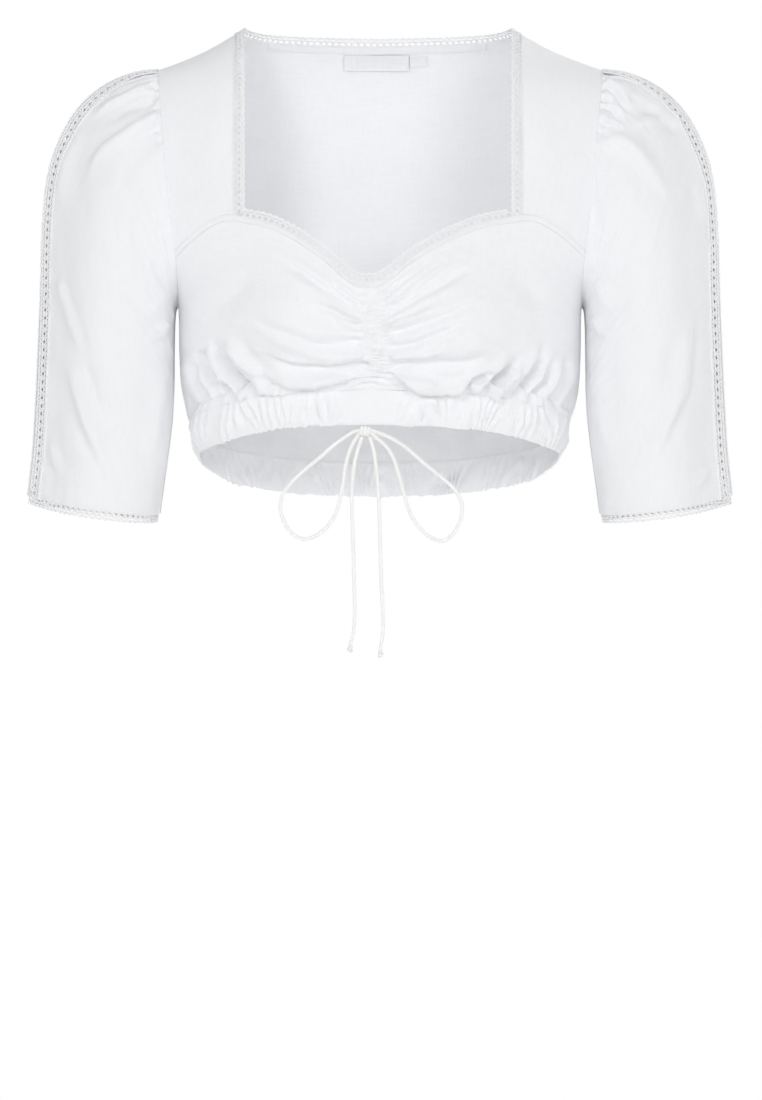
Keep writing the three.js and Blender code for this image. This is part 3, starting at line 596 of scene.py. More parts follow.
class ClothFinishes:
    """Makes each finish's material once, on cloth coordinates or on the object's own."""

    def __init__(self) -> None:
        """Starts with no materials made."""
        self._made: dict[tuple[str, bool], Material] = {}

    def get(self, finish: Finish, on_cloth: bool = True) -> Material:
        """Material of a finish.

        Args:
            finish: The finish.
            on_cloth: True where the piece has a UV map in metres of flat cloth.

        Returns:
            The material, made the first time it is asked for.
        """
        key = (finish.name, on_cloth)
        if key not in self._made:
            self._made[key] = self._make(finish, on_cloth)
        return self._made[key]

    def _make(self, finish: Finish, on_cloth: bool) -> Material:
        """Builds the nodes: slubs in the colour, woven threads and slubs in the bump."""
        material = bpy.data.materials.new(finish.name + ("" if on_cloth else " thread"))
        material.use_nodes = True
        tree = material.node_tree
        tree.nodes.clear()
        add = partial(add_node, tree)
        if on_cloth:
            place = add("ShaderNodeUVMap", uv_map="cloth").outputs["UV"]
        else:
            place = add("ShaderNodeTexCoord").outputs["Object"]
        slubs = []
        for stretch in ((1.0, 0.09, 1.0), (0.09, 1.0, 1.0)):
            turned = add("ShaderNodeMapping", {"Vector": place, "Scale": stretch})
            noise_scale = SLUBS_ACROSS / (finish.slub_mm * MM)
            noise = add(
                "ShaderNodeTexNoise",
                {"Vector": turned, "Scale": noise_scale, "Detail": 3.0, "Roughness": 0.6},
            )
            slubs.append(noise.outputs["Fac"])
        slub = add("ShaderNodeMath", {0: slubs[0], 1: slubs[1]}, operation="ADD")
        tone = add(
            "ShaderNodeMapRange",
            {"Value": slub, "From Min": 0.75, "From Max": 1.25, "To Min": 0.0, "To Max": 1.0},
        )
        colour = add(
            "ShaderNodeMix", {"Factor": tone, 6: linear(finish.shade), 7: linear(finish.colour)},
            data_type="RGBA",
        )
        threads = []
        wave_scale = BANDS_PER_UNIT / (finish.thread_mm * MM)
        turns = (0.6, -0.6) if finish.twisted else (0.0, math.pi / 2)
        for turn in turns:
            turned = add("ShaderNodeMapping", {"Vector": place, "Rotation": (0.0, 0.0, turn)})
            wave = add(
                "ShaderNodeTexWave", {"Vector": turned, "Scale": wave_scale, "Distortion": 0.4},
                wave_type="BANDS", bands_direction="X",
            )
            threads.append(wave.outputs["Fac"])
        weave = add("ShaderNodeMath", {0: threads[0], 1: threads[1]}, operation="MULTIPLY")
        height = add("ShaderNodeMath", {0: slub, 1: SLUB_RELIEF, 2: weave}, operation="MULTIPLY_ADD")
        relief = add(
            "ShaderNodeBump", {"Height": height, "Strength": 0.5, "Distance": finish.weave_depth * MM},
        )
        shader = add(
            "ShaderNodeBsdfPrincipled",
            {
                "Base Color": colour.outputs[2], "Roughness": finish.roughness, "IOR": 1.5,
                "Specular IOR Level": 0.25, "Sheen Weight": finish.sheen, "Subsurface Weight": finish.glow,
                "Subsurface Radius": (1.0, 1.0, 1.0), "Subsurface Scale": finish.glow_mm * MM,
                "Sheen Roughness": 0.5, "Normal": relief,
            },
        )
        add("ShaderNodeOutputMaterial", {"Surface": shader})
        return material


FINISHES = ClothFinishes()

# Angle past which an edge stays sharp.
SHARP_ANGLE = math.radians(60.0)


def mesh_piece(
    name: str, points_mm: Array, faces: Sequence[Sequence[int]], material: Material,
    uv_m: Array | None = None,
) -> Piece:
    """Makes a smooth mesh object at the origin.

    Args:
        name: Name of the piece.
        points_mm: Vertices in mm.
        faces: Vertex numbers of each face, facing out.
        material: Its material.
        uv_m: Cloth coordinates of each vertex in metres, or None.

    Returns:
        The new object.
    """
    mesh = bpy.data.meshes.new(name)
    mesh.from_pydata((np.asarray(points_mm) * MM).tolist(), [], faces)
    mesh.shade_smooth()
    mesh.set_sharp_from_angle(angle=SHARP_ANGLE)
    if uv_m is not None:
        corners = np.zeros(len(mesh.loops), dtype=np.int32)
        mesh.loops.foreach_get("vertex_index", corners)
        layer = mesh.uv_layers.new(name="cloth")
        layer.data.foreach_set("uv", np.asarray(uv_m, np.float32)[corners].ravel())
    mesh.materials.append(material)
    mesh.validate()
    piece = bpy.data.objects.new(name, mesh)
    bpy.context.scene.collection.objects.link(piece)
    return piece


def fit(piece: Piece, finish: Finish, *nodes: str) -> Piece:
    """Puts a piece on the garment's one body and hides the solids that it stands for."""
    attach(piece, BODY)
    if nodes:
        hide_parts(*nodes)
    triangles = 0
    if piece.type == "MESH":
        triangles = sum(len(face.vertices) - 2 for face in piece.data.polygons)
    LOG.info("%s: %d triangles", piece.name, triangles)
    return piece


def grid_faces(rows: int, columns: int, start: int = 0) -> Array:
    """Quads of a grid, as vertex numbers."""
    j, i = np.meshgrid(np.arange(rows - 1), np.arange(columns - 1), indexing="ij")
    corner = start + j * columns + i
    return np.stack([corner, corner + 1, corner + columns + 1, corner + columns], axis=-1).reshape(-1, 4)


def cloth_shell(
    name: str, node: str, surface: Surface, relief: Array, wall: float, finish: Finish = BATISTE,
    mirrored: bool = False,
) -> Piece:
    """Thin closed shell of cloth over a grid of places.

    Args:
        name: Name of the piece.
        node: Solid that it stands for.
        surface: Places and normals of the outer face.
        relief: How far the outer face stands off each place, in mm.
        wall: Thickness in mm.
        finish: Its cloth.
        mirrored: True for the left one of a pair that is worked out on the right.

    Returns:
        The piece, on the garment.
    """
    base, normal = surface.base.copy(), surface.normal.copy()
    if mirrored:
        base[..., 0] *= -1.0
        normal[..., 0] *= -1.0
    rows, columns = base.shape[:2]
    outer = base + normal * relief[..., None]
    inner = base + normal * (relief - wall)[..., None]
    across = np.gradient(outer, axis=1)
    down = np.gradient(outer, axis=0)
    facing = float((np.cross(across, down) * normal).sum(-1).mean())
    count = rows * columns
    faces = [grid_faces(rows, columns), grid_faces(rows, columns, count)[:, ::-1]]
    rim = np.concatenate(
        [
            np.arange(columns), np.arange(1, rows) * columns + columns - 1,
            np.arange(columns - 2, -1, -1) + (rows - 1) * columns, np.arange(rows - 2, 0, -1) * columns,
        ]
    )
    following = np.roll(rim, -1)
    faces.append(np.stack([rim, rim + count, following + count, following], axis=-1))
    quads = np.concatenate(faces)
    if facing < 0:
        quads = quads[:, ::-1]
    u = run_length(outer, 1)
    u = u - u[:, columns // 2 : columns // 2 + 1]
    uv = np.stack([u, -run_length(outer)], axis=-1).reshape(-1, 2) * MM
    points = np.concatenate([outer.reshape(-1, 3), inner.reshape(-1, 3)])
    piece = mesh_piece(name, points, quads.tolist(), FINISHES.get(finish), np.concatenate([uv, uv]))
    return fit(piece, finish, node)


class Rim(Enum):
    """Edge of a panel's grid: the axis that it closes, and which end of it."""

    TOP = (0, 0)
    BOTTOM = (0, -1)
    START = (1, 0)
    END = (1, -1)


def tucked(
    surface: Surface, relief: Array, rims: Sequence[Rim], sink: float = 0.9, reach: float = 1.8
) -> tuple[Surface, Array]:
    """Adds seam allowances that turn under the next piece, so that a seam shows no gap.

    Args:
        surface: Places of the panel.
        relief: How far the outer face stands off them, in mm.
        rims: Edges to turn under.
        sink: Depth of the allowance below the panel's edge, in mm.
        reach: Width of the allowance in mm.

    Returns:
        The wider surface and relief.
    """
    edge_step = 0.12
    height = np.broadcast_to(relief, surface.base.shape[:2])
    base, normal = surface.base, surface.normal
    for rim in rims:
        axis, end = rim.value
        base, normal, height = (np.moveaxis(grid, axis, 0) for grid in (base, normal, height))
        if end:
            base, normal, height = base[::-1], normal[::-1], height[::-1]
        way = unit(base[0] - base[1])
        base = np.concatenate([(base[0] + way * reach)[None], (base[0] + way * edge_step)[None], base])
        normal = np.concatenate([normal[:1], normal[:1], normal])
        height = np.concatenate([height[:1] - sink, height[:1] - sink, height])
        if end:
            base, normal, height = base[::-1], normal[::-1], height[::-1]
        base, normal, height = (np.moveaxis(grid, 0, axis) for grid in (base, normal, height))
    return Surface(base, normal), height


@dataclass
class Edge:
    """Line on the cloth that lace or stitches follow, with the cloth's normals along it."""

    base: Array
    normal: Array
    closed: bool = False

    def spaced(self, pitch: float, per_pitch: int) -> "Edge":
        """The same line with evenly spaced points.

        Args:
            pitch: Wished length of one repeat, in mm. The line takes a whole number of them.
            per_pitch: Points in each repeat.

        Returns:
            The evenly spaced line.
        """
        base, normal = self.base, self.normal
        if self.closed:
            base = np.concatenate([base, base[:1]])
            normal = np.concatenate([normal, normal[:1]])
        run = run_length(base)
        repeats = max(1, round(run[-1] / pitch))
        places = np.linspace(0.0, run[-1], repeats * per_pitch + 1)
        if self.closed:
            places = places[:-1]
        return Edge(resampled(base, run, places), unit(resampled(normal, run, places)), self.closed)

    def along(self) -> Array:
        """Directions along the line."""
        if self.closed:
            return unit(np.roll(self.base, -1, axis=0) - np.roll(self.base, 1, axis=0))
        return unit(np.gradient(self.base, axis=0))

    def outward(self) -> Array:
        """Directions in the cloth, across the line, to the left of its run seen from outside."""
        return unit(np.cross(self.normal, self.along()))

    def facing(self, *way: float) -> "Edge":
        """The line, run so that its outward side faces a way."""
        if (self.outward() @ np.array(way)).mean() < 0:
            return Edge(self.base[::-1], self.normal[::-1], self.closed)
        return self

    def moved(self, across: float, lift: float) -> "Edge":
        """The line moved within the cloth and off it."""
        return Edge(self.base + self.outward() * across + self.normal * lift, self.normal, self.closed)

    def mirrored(self) -> "Edge":
        """The line on the left one of a pair, run the other way so that outward stays outward."""
        turn = np.array([-1.0, 1.0, 1.0])
        return Edge((self.base * turn)[::-1], (self.normal * turn)[::-1], self.closed)


def tube(
    path: Array, radius: float, sides: int, closed: bool = False,
    relief: Callable[[Array, Array], Array] | None = None,
) -> tuple[Array, list[list[int]], Array]:
    """Round thread or cord along a path.

    Args:
        path: Points of its centreline, in mm.
        radius: Radius in mm.
        sides: Sides of its section.
        closed: True for a ring.
        relief: Share of the radius to add, by turn and by distance along, or None.

    Returns:
        Vertices, faces and cloth coordinates in metres.
    """
    path = np.asarray(path, float)
    count = len(path)
    if closed:
        tangents = unit(np.roll(path, -1, axis=0) - np.roll(path, 1, axis=0))
    else:
        tangents = unit(np.gradient(path, axis=0))
    start = np.array([0.0, 0.0, 1.0]) if abs(tangents[0][2]) < 0.8 else np.array([0.0, 1.0, 0.0])
    first = unit(np.cross(tangents[0], start))
    firsts = [first]
    for tangent in tangents[1:]:
        firsts.append(unit(firsts[-1] - tangent * np.dot(firsts[-1], tangent)))
    first = np.array(firsts)
    second = np.cross(tangents, first)
    turns = FULL_TURN * np.arange(sides) / sides
    run = run_length(path)
    size = np.full((count, sides), radius)
    if relief is not None:
        size = size * (1.0 + relief(turns[None, :], run[:, None]))
    ring = first[:, None] * np.cos(turns)[None, :, None] + second[:, None] * np.sin(turns)[None, :, None]
    points = (path[:, None] + ring * size[..., None]).reshape(-1, 3)
    side, step = np.arange(sides), np.arange(count if closed else count - 1)[:, None]
    here, there, after = step * sides, (step + 1) % count * sides, (side + 1) % sides
    quads = np.stack([here + side, here + after, there + after, there + side], axis=-1)
    faces = quads.reshape(-1, 4).tolist()
    uv = np.stack(np.broadcast_arrays(turns * radius, run[:, None]), axis=-1).reshape(-1, 2)
    if not closed:
        ends = np.array([path[0], path[-1]])
        points = np.concatenate([points, ends])
        uv = np.concatenate([uv, uv[[0, -1]]])
        low, high = count * sides, count * sides + 1
        last = (count - 1) * sides
        for k in range(sides):
            faces += [[low, (k + 1) % sides, k], [high, last + k, last + (k + 1) % sides]]
    return points, faces, uv * MM


class Threads:
    """Joins several tubes into one mesh."""

    def __init__(self) -> None:
        """Starts empty."""
        self._points: list[Array] = []
        self._faces: list[list[int]] = []
        self._uv: list[Array] = []
        self._count = 0

    def add(self, path: Points, radius: float, sides: int = 4, **options) -> None:
        """Adds a tube, as the tube function makes it."""
        points, faces, uv = tube(np.array(path, float), radius, sides, **options)
        self._faces += [[corner + self._count for corner in face] for face in faces]
        self._points.append(points)
        self._uv.append(uv)
        self._count += len(points)

    def piece(self, name: str, material: Material) -> Piece:
        """The joined mesh as an object."""
        points, uv = np.concatenate(self._points), np.concatenate(self._uv)
        return mesh_piece(name, points, self._faces, material, uv)


# Thickness of a crocheted rail as a share of its width.
RAIL_THICKNESS = 0.5


def flat_section(turn: Array, run: Array) -> Array:
    """Share of a lace thread's radius to add, so that it lies wider in the lace than it is thick."""
    return 0.9 * np.cos(turn) ** 2 + 0.0 * run


def repeat_tree(rails: int) -> bpy.types.NodeTree:
    """Geometry nodes that set a unit at each marked point of a guide line and draw rails beside it.

    Args:
        rails: Number of rails.

    Returns:
        The tree. Its inputs are the guide, the unit, the material, and each rail's reach and radius.
    """
    tree = bpy.data.node_groups.new(f"units along an edge with {rails} rails", "GeometryNodeTree")
    inputs = {"Guide": "Geometry", "Unit": "Object", "Material": "Material"}
    for number in range(1, rails + 1):
        inputs |= {f"Rail {number} reach": "Float", f"Rail {number} radius": "Float"}
    for name, kind in inputs.items():
        tree.interface.new_socket(name, in_out="INPUT", socket_type="NodeSocket" + kind)
    tree.interface.new_socket("Result", in_out="OUTPUT", socket_type="NodeSocketGeometry")
    add = partial(add_node, tree)
    given = add("NodeGroupInput")
    outward = add("GeometryNodeInputNamedAttribute", {"Name": "outward"}, data_type="FLOAT_VECTOR")
    facing = add("GeometryNodeInputNamedAttribute", {"Name": "facing"}, data_type="FLOAT_VECTOR")
    starts = add("GeometryNodeInputNamedAttribute", {"Name": "starts_unit"}, data_type="BOOLEAN")
    turned = add(
        "FunctionNodeAxesToRotation", {0: facing.outputs["Attribute"], 1: outward.outputs["Attribute"]},
        primary_axis="Z", secondary_axis="Y",
    )
    unit_shape = add("GeometryNodeObjectInfo", {"Object": given.outputs["Unit"]})
    units = add(
        "GeometryNodeInstanceOnPoints",
        {
            "Points": given.outputs["Guide"], "Selection": starts.outputs["Attribute"],
            "Instance": unit_shape.outputs["Geometry"], "Rotation": turned,
        },
    )
    joined = add("GeometryNodeJoinGeometry")
    tree.links.new(units.outputs[0], joined.inputs[0])
    for number in range(1, rails + 1):
        reach = add(
            "ShaderNodeVectorMath",
            {0: outward.outputs["Attribute"], "Scale": given.outputs[f"Rail {number} reach"]},
            operation="SCALE",
        )
        moved = add("GeometryNodeSetPosition", {"Geometry": given.outputs["Guide"], "Offset": reach})
        line = add("GeometryNodeMeshToCurve", {"Mesh": moved})
        curve = add(
            "GeometryNodeSetCurveNormal", {"Curve": line, "Normal": facing.outputs["Attribute"]},
            mode="FREE",
        )
        section = add(
            "GeometryNodeCurvePrimitiveCircle",
            {"Resolution": 6, "Radius": given.outputs[f"Rail {number} radius"]},
        )
        flat = add("GeometryNodeTransform", {"Geometry": section, "Scale": (RAIL_THICKNESS, 1.0, 1.0)})
        rail = add("GeometryNodeCurveToMesh", {"Curve": curve, "Profile Curve": flat, "Fill Caps": True})
        tree.links.new(rail.outputs[0], joined.inputs[0])
    real = add("GeometryNodeRealizeInstances", {"Geometry": joined})
    dressed = add("GeometryNodeSetMaterial", {"Geometry": real, "Material": given.outputs["Material"]})
    add("NodeGroupOutput", {0: dressed})
    return tree


class RepeatWork:
    """Lays lace units and stitches along edges with geometry nodes, as plain meshes."""

    def __init__(self) -> None:
        """Starts with no trees made."""
        self._trees: dict[int, bpy.types.NodeTree] = {}

    def lay(
        self, name: str, edge: Edge, unit_piece: Piece, per_unit: int, rails: Sequence[tuple[float, float]],
        material: Material,
    ) -> Piece:
        """Lays units along an edge.

        Args:
            name: Name of the piece.
            edge: Evenly spaced line, per_unit points to a unit.
            unit_piece: Unit on the origin, x along the line, y outward, z off the cloth.
            per_unit: Points of the line in one unit.
            rails: Reach and radius of each rail, in mm.
            material: Material of all threads.

        Returns:
            The finished piece, with no modifier left.
        """
        count = len(edge.base)
        links = [(i, i + 1) for i in range(count - 1)]
        if edge.closed:
            links.append((count - 1, 0))
        mesh = bpy.data.meshes.new(name + " guide")
        mesh.from_pydata((edge.base * MM).tolist(), links, [])
        for label, values in (("outward", edge.outward()), ("facing", edge.normal)):
            attribute = mesh.attributes.new(label, "FLOAT_VECTOR", "POINT")
            attribute.data.foreach_set("vector", values.astype(np.float32).ravel())
        starts = np.arange(count) % per_unit == 0
        if not edge.closed:
            starts[-1] = per_unit == 1
        attribute = mesh.attributes.new("starts_unit", "BOOLEAN", "POINT")
        attribute.data.foreach_set("value", starts)
        piece = bpy.data.objects.new(name, mesh)
        bpy.context.scene.collection.objects.link(piece)
        if len(rails) not in self._trees:
            self._trees[len(rails)] = repeat_tree(len(rails))
        tree = self._trees[len(rails)]
        modifier = piece.modifiers.new("repeat", "NODES")
        modifier.node_group = tree
        values = {"Unit": unit_piece, "Material": material}
        for number, (reach, radius) in enumerate(rails, 1):
            values[f"Rail {number} reach"] = reach * MM
            values[f"Rail {number} radius"] = radius * MM
        for item in tree.interface.items_tree:
            if item.item_type == "SOCKET" and item.in_out == "INPUT" and item.name in values:
                modifier[item.identifier] = values[item.name]
        bpy.context.view_layer.update()
        graph = bpy.context.evaluated_depsgraph_get()
        made = bpy.data.meshes.new_from_object(piece.evaluated_get(graph))
        piece.modifiers.remove(modifier)
        piece.data = made
        bpy.data.meshes.remove(mesh)
        made.name = name
        made.shade_smooth()
        return piece


REPEATS = RepeatWork()


def drop(piece: Piece) -> None:
    """Removes a unit shape once its repeats are laid."""
    mesh = piece.data
    bpy.data.objects.remove(piece)
    bpy.data.meshes.remove(mesh)


@dataclass(frozen=True)
class Stitching:
    """Rows of lockstitch, each stitch a small sunk thread."""

    pitch: float = 2.6
    stitch: float = 1.9
    radius: float = 0.24
    lift: float = 0.08
    sunk: float = 0.25
    flat_share: float = 0.6

    def unit_piece(self) -> Piece:
        """One stitch along x, its ends sunk."""
        threads = Threads()
        half, sunk, flat = self.stitch / 2, self.sunk, self.stitch / 2 * self.flat_share
        threads.add([(-half, 0, -sunk), (-flat, 0, 0.0), (flat, 0, 0.0), (half, 0, -sunk)], self.radius)
        return threads.piece("stitch unit", FINISHES.get(LACE_THREAD, on_cloth=False))

    def sew(self, name: str, edges: Sequence[Edge]) -> Piece:
        """Sews rows along edges as one piece.

        Args:
            name: Name of the piece.
            edges: Lines to sew along.

        Returns:
            The piece, riding on the garment.
        """
        stitch = self.unit_piece()
        material = FINISHES.get(LACE_THREAD, on_cloth=False)
        rows = []
        for number, edge in enumerate(edges):
            spaced = edge.spaced(self.pitch, 1).moved(0.0, self.lift)
            rows.append(REPEATS.lay(f"{name}_{number}", spaced, stitch, 1, (), material))
        drop(stitch)
        return fit(joined(name, rows), LACE_THREAD)


def joined(name: str, pieces: Sequence[Piece]) -> Piece:
    """Joins plain meshes of one material into the first of them."""
    points, faces, count = [], [], 0
    for piece in pieces:
        mesh = piece.data
        coordinates = np.zeros(len(mesh.vertices) * 3)
        mesh.vertices.foreach_get("co", coordinates)
        points.append(coordinates.reshape(-1, 3) / MM)
        faces += [[corner + count for corner in face.vertices] for face in mesh.polygons]
        count += len(mesh.vertices)
    material = pieces[0].data.materials[0]
    for piece in pieces:
        drop(piece)
    return mesh_piece(name, np.concatenate(points), faces, material)


STITCHING = Stitching()

# Creases of the bust panel: x and z in mm, left and right uneven.
BUST_CREASES = hand_placed(
    ((-14.4, -223.2, -28, -214.5, -42.4, -204), -1.7, 2.0, 0, 0.05),
    ((-16, -228, -32, -217.6, -63.2, -196, -86, -184), -1.5, 3.0, 0.3, 0.05),
    ((-15, -236, -30, -232, -58, -219), 1.3, 3.0, 0, 0.05), ((-22.4, -244.8, -36, -229.6), 1.2, 2.6),
    ((-12.8, -253.6, -52, -256, -87.2, -243.2, -112, -226), -1.9, 4.0, -0.3, 0.05),
    ((-13, -262, -40, -264.5, -66, -262), 1.3, 3.2, 0, 0.05),
    ((-6.4, -270.4, -42.4, -273.6, -71.2, -272, -98, -262), -2.8, 3.2, 0.3, 0.05),
    ((-16, -280.8, -28.8, -286.4, -52, -288.5, -84.8, -287, -114, -273), -3.0, 2.6, 0, 0.1),
    ((-136.8, -249, -129, -264, -121.6, -278.4, -96, -301), -5.2, 3.4, 0.3, 0.3, 0.15),
    ((-124, -248, -111, -268, -92, -286), 2.4, 4.0, 0, 0.3, 0.2),
    ((-146, -256, -141, -270, -136, -290), -5.4, 4.4, 0, 0.3, 0.2),
    ((-151, -262, -149, -282, -143, -302), -3.0, 3.2, 0, 0.3, 0.1),
    ((-128, -286, -122, -294, -113, -302), -3.0, 2.4, 0, 0.1, 0.1),
    ((-96, -196, -118, -214, -140, -236), -1.2, 8.0),
    ((6.4, -229.6, 28.8, -218.4, 57.6, -202.4, 78, -191), -1.3, 3.4, 0.2, 0.05),
    ((8, -238, 30, -232, 52, -221), 1.0, 3.0, 0, 0.05),
    ((8, -246.4, 28.8, -240, 57.6, -229.6, 80, -216), -1.5, 3.6, -0.2, 0.05),
    ((6, -257.6, 22.4, -256, 52.8, -244.8, 76.8, -229.6), -1.7, 3.2, 0.3, 0.05),
    ((8, -264, 34, -262.5, 64, -254), 1.2, 3.0, 0, 0.05),
    ((8, -272, 44.8, -270.4, 65.6, -270.4, 90, -262), -2.3, 3.0, 0.2, 0.05),
    ((13, -280.5, 30, -283, 48, -284.5), 2.6, 5.0, 0, 0.1, 0.25),
    ((12.8, -282.4, 29.6, -290.4, 59.2, -292.8, 73.6, -285.6), -2.6, 2.4, 0, 0.1, 0.15),
    ((65.6, -292.8, 75, -283.5, 94, -276), -4.2, 2.6, 0, 0.05),
    ((62.4, -300, 88, -289.6, 105, -276, 114.4, -260), -5.2, 2.9, 0.3, 0.05),
    ((84, -297, 103, -287, 118, -268), 2.4, 3.4, 0, 0.1),
    ((96, -304, 114.4, -292.8, 128.8, -267.2, 132.8, -250), -5.4, 3.2, -0.2, 0.05),
    ((118, -303, 133, -284, 141, -262), -4.4, 2.8, 0, 0.05),
    ((140, -305, 149, -284, 151, -260), -3.2, 3.0, 0, 0.05), ((100, -196, 120, -210, 140, -232), -1.0, 8.0),
)


@dataclass(frozen=True)
class BustPanel:
    """Front bust panel, ruched on a channel down the centre front and gathered into the hem."""

    wall: float = 0.7
    columns: int = 252
    rows: int = 148
    top_gap: float = 0.12
    hem_gap: float = 0.05
    ruche_x: float = -2.8
    ruche_half: float = 10.8
    ruche_height: float = 1.0
    ruche_pitch: float = 3.4
    seam_depth: float = 0.7
    fan_height: float = 2.0
    fan_pitch: float = 7.6
    crease_gain: float = 2.0
    gather_height: float = 4.4
    gather_reach: float = 12.0
    rumple_height: float = 0.3
    crumple_place: tuple[float, float] = (-9.0, -281.0)
    crumple_spread: tuple[float, float] = (20.0, 7.5)
    crumple_height: float = 1.5
    crumple_pitch: float = 4.6
    top_tuck: float = 0.4
    hem_tuck: float = 0.3
    droop: float = 4.2
    roll: float = 2.6
    flatter: float = 0.8
    overhangs: tuple[tuple[float, float, float], ...] = (
        (42.0, 24.0, 0.85), (-64.0, 30.0, 0.75), (-10.0, 10.0, -0.2),
    )

    def surface(self) -> tuple[Surface, Array, Array, Array]:
        """Places of the panel, with its angles, and its shares across and down."""
        s = np.linspace(-1.0, 1.0, self.columns)[None, :]
        v = np.linspace(0.0, 1.0, self.rows)[:, None]
        top_x = s * FORM.bust_edge_end
        top_z = FORM.bust_edge(top_x) - FORM.bust_band_width - self.top_gap
        bottom_z = FORM.hem_top(Side.FRONT, s * math.pi / 2) + self.hem_gap
        z = mix(top_z, bottom_z, v)
        lead = FORM.angle_at(top_x, top_z) - s * FORM.edge_angle(top_z)
        angle = s * FORM.edge_angle(z) + lead * (1.0 - v) ** 2
        surface = Surface(*FORM.face(Side.FRONT, angle, z))
        s, v = np.broadcast_arrays(s, v)
        return surface, angle, s, v

    def ruching(self, x: Array, z: Array) -> Array:
        """Crinkles of the channel and the short creases that fan out beside it."""
        away = np.abs(x - self.ruche_x)
        channel = 1.0 - smooth(self.ruche_half - 2.5, self.ruche_half + 1.0, away)
        wander = 0.42 * np.sin(z / 5.3 + 0.6) + 0.38 * np.sin(x / 3.4 + z / 9.0)
        wander = wander + 0.3 * np.sin(x / 1.9 - z / 4.4)
        crinkle = np.cos(FULL_TURN * (z / self.ruche_pitch + wander))
        crinkle = crinkle * (0.5 + 0.5 * np.sin(x / 2.7 + z / 6.3) * np.sin(z / 14.0 + 1.0))
        seams = bump(away - self.ruche_half, 1.1)
        puckers = np.cos(FULL_TURN * (z / 3.1 + 0.3 * np.sin(z / 8.0)))
        puckers = bump(away - self.ruche_half - 1.6, 2.0) * puckers
        outside = smooth(self.ruche_half - 1.0, self.ruche_half + 3.0, away)
        fan_z = z - (away - self.ruche_half) * np.clip((z + 252.0) / 60.0, -0.5, 0.75)
        side = np.where(x > self.ruche_x, 0.0, 1.9)
        fan_phase = fan_z / self.fan_pitch + 0.45 * np.sin(fan_z / 9.0 + side) + side
        fan = np.cos(FULL_TURN * fan_phase) * np.exp(-np.maximum(0.0, away - self.ruche_half) / 12.0)
        return (
            self.ruche_height * channel * crinkle
            - self.seam_depth * seams
            + 0.3 * puckers
            + self.fan_height * outside * fan * (0.6 + 0.4 * np.sin(fan_z / 13.0 + side))
        )

    def overhang(self, x: Array, above: Array) -> Array:
        """How much the panel's lower end hangs over the hem band, 0 to 1, by place along it."""
        amount = 0.08 + 0.12 * np.sin(x / 9.0 + 0.4) * np.sin(x / 31.0)
        for middle, spread, share in self.overhangs:
            amount = amount + share * bump(x - middle, spread)
        return np.clip(amount, 0.0, 1.0) * bump(above - 4.5, 4.2) * smooth(0.0, 2.5, above)

    def build(self) -> None:
        """Makes the panel."""
        surface, angle, s, v = self.surface()
        x, z = surface.base[..., 0], surface.base[..., 2]
        along = angle * (BODY_RINGS.rows[-1][1] + BODY_RINGS.rows[-1][2]) / 2
        above = z - (FORM.hem_top(Side.FRONT, angle) + FORM.seam_gap)
        reach = self.gather_reach * (1.0 + 0.45 * np.sin(along / 9.0 + 0.7) * np.sin(along / 23.0))
        gathered = GATHERS.above_hem(Side.FRONT, along, above, self.gather_height, reach)
        top_fade = smooth(0.0, 0.06, v)
        side_fade = 1.0 - smooth(0.9, 1.0, np.abs(s))
        hem_fade = smooth(0.0, 3.0, above)
        (crumple_x, crumple_z), (wide, high) = self.crumple_place, self.crumple_spread
        crumple = self.crumple_height * bump(z - crumple_z, high) * bump(x - crumple_x, wide)
        crumple = crumple * np.sin(FULL_TURN * z / self.crumple_pitch + 1.2 * np.sin(x / 5.0))
        soft = self.rumple_height * (rumple(x, z, 26.0, 11) + 0.5 * rumple(x, z, 11.0, 12))
        folds = self.crease_gain * creased(BUST_CREASES, x, z) + self.ruching(x, z) + crumple + soft
        relief = folds * top_fade * side_fade * hem_fade + gathered * (1.0 - smooth(0.94, 1.0, np.abs(s)))
        hang = self.overhang(x, above) * side_fade
        surface.base[..., 2] -= self.droop * hang
        pouch = FORM.pouch_depth * smooth(0.0, 8.0, above) * np.exp(-above / 24.0)
        pouch = self.flatter * pouch * smooth(74.0, 112.0, np.abs(x))
        relief = relief + self.roll * hang - pouch * side_fade
        surface, relief = tucked(surface, relief, (Rim.TOP,), sink=self.top_tuck)
        surface, relief = tucked(surface, relief, (Rim.BOTTOM,), sink=self.hem_tuck)
        piece = cloth_shell("bust_panel", "front_bust", surface, relief, self.wall)


def bust_line(from_x: float, to_x: float, below: float, count: int = 240) -> Edge:
    """Line along the sweetheart and the bust seams, a distance below the band's upper edge."""
    x = np.linspace(from_x, to_x, count)
    z = FORM.bust_edge(x) - below
    angle = FORM.angle_at(x, z)
    return Edge(*FORM.face(Side.FRONT, angle, z))


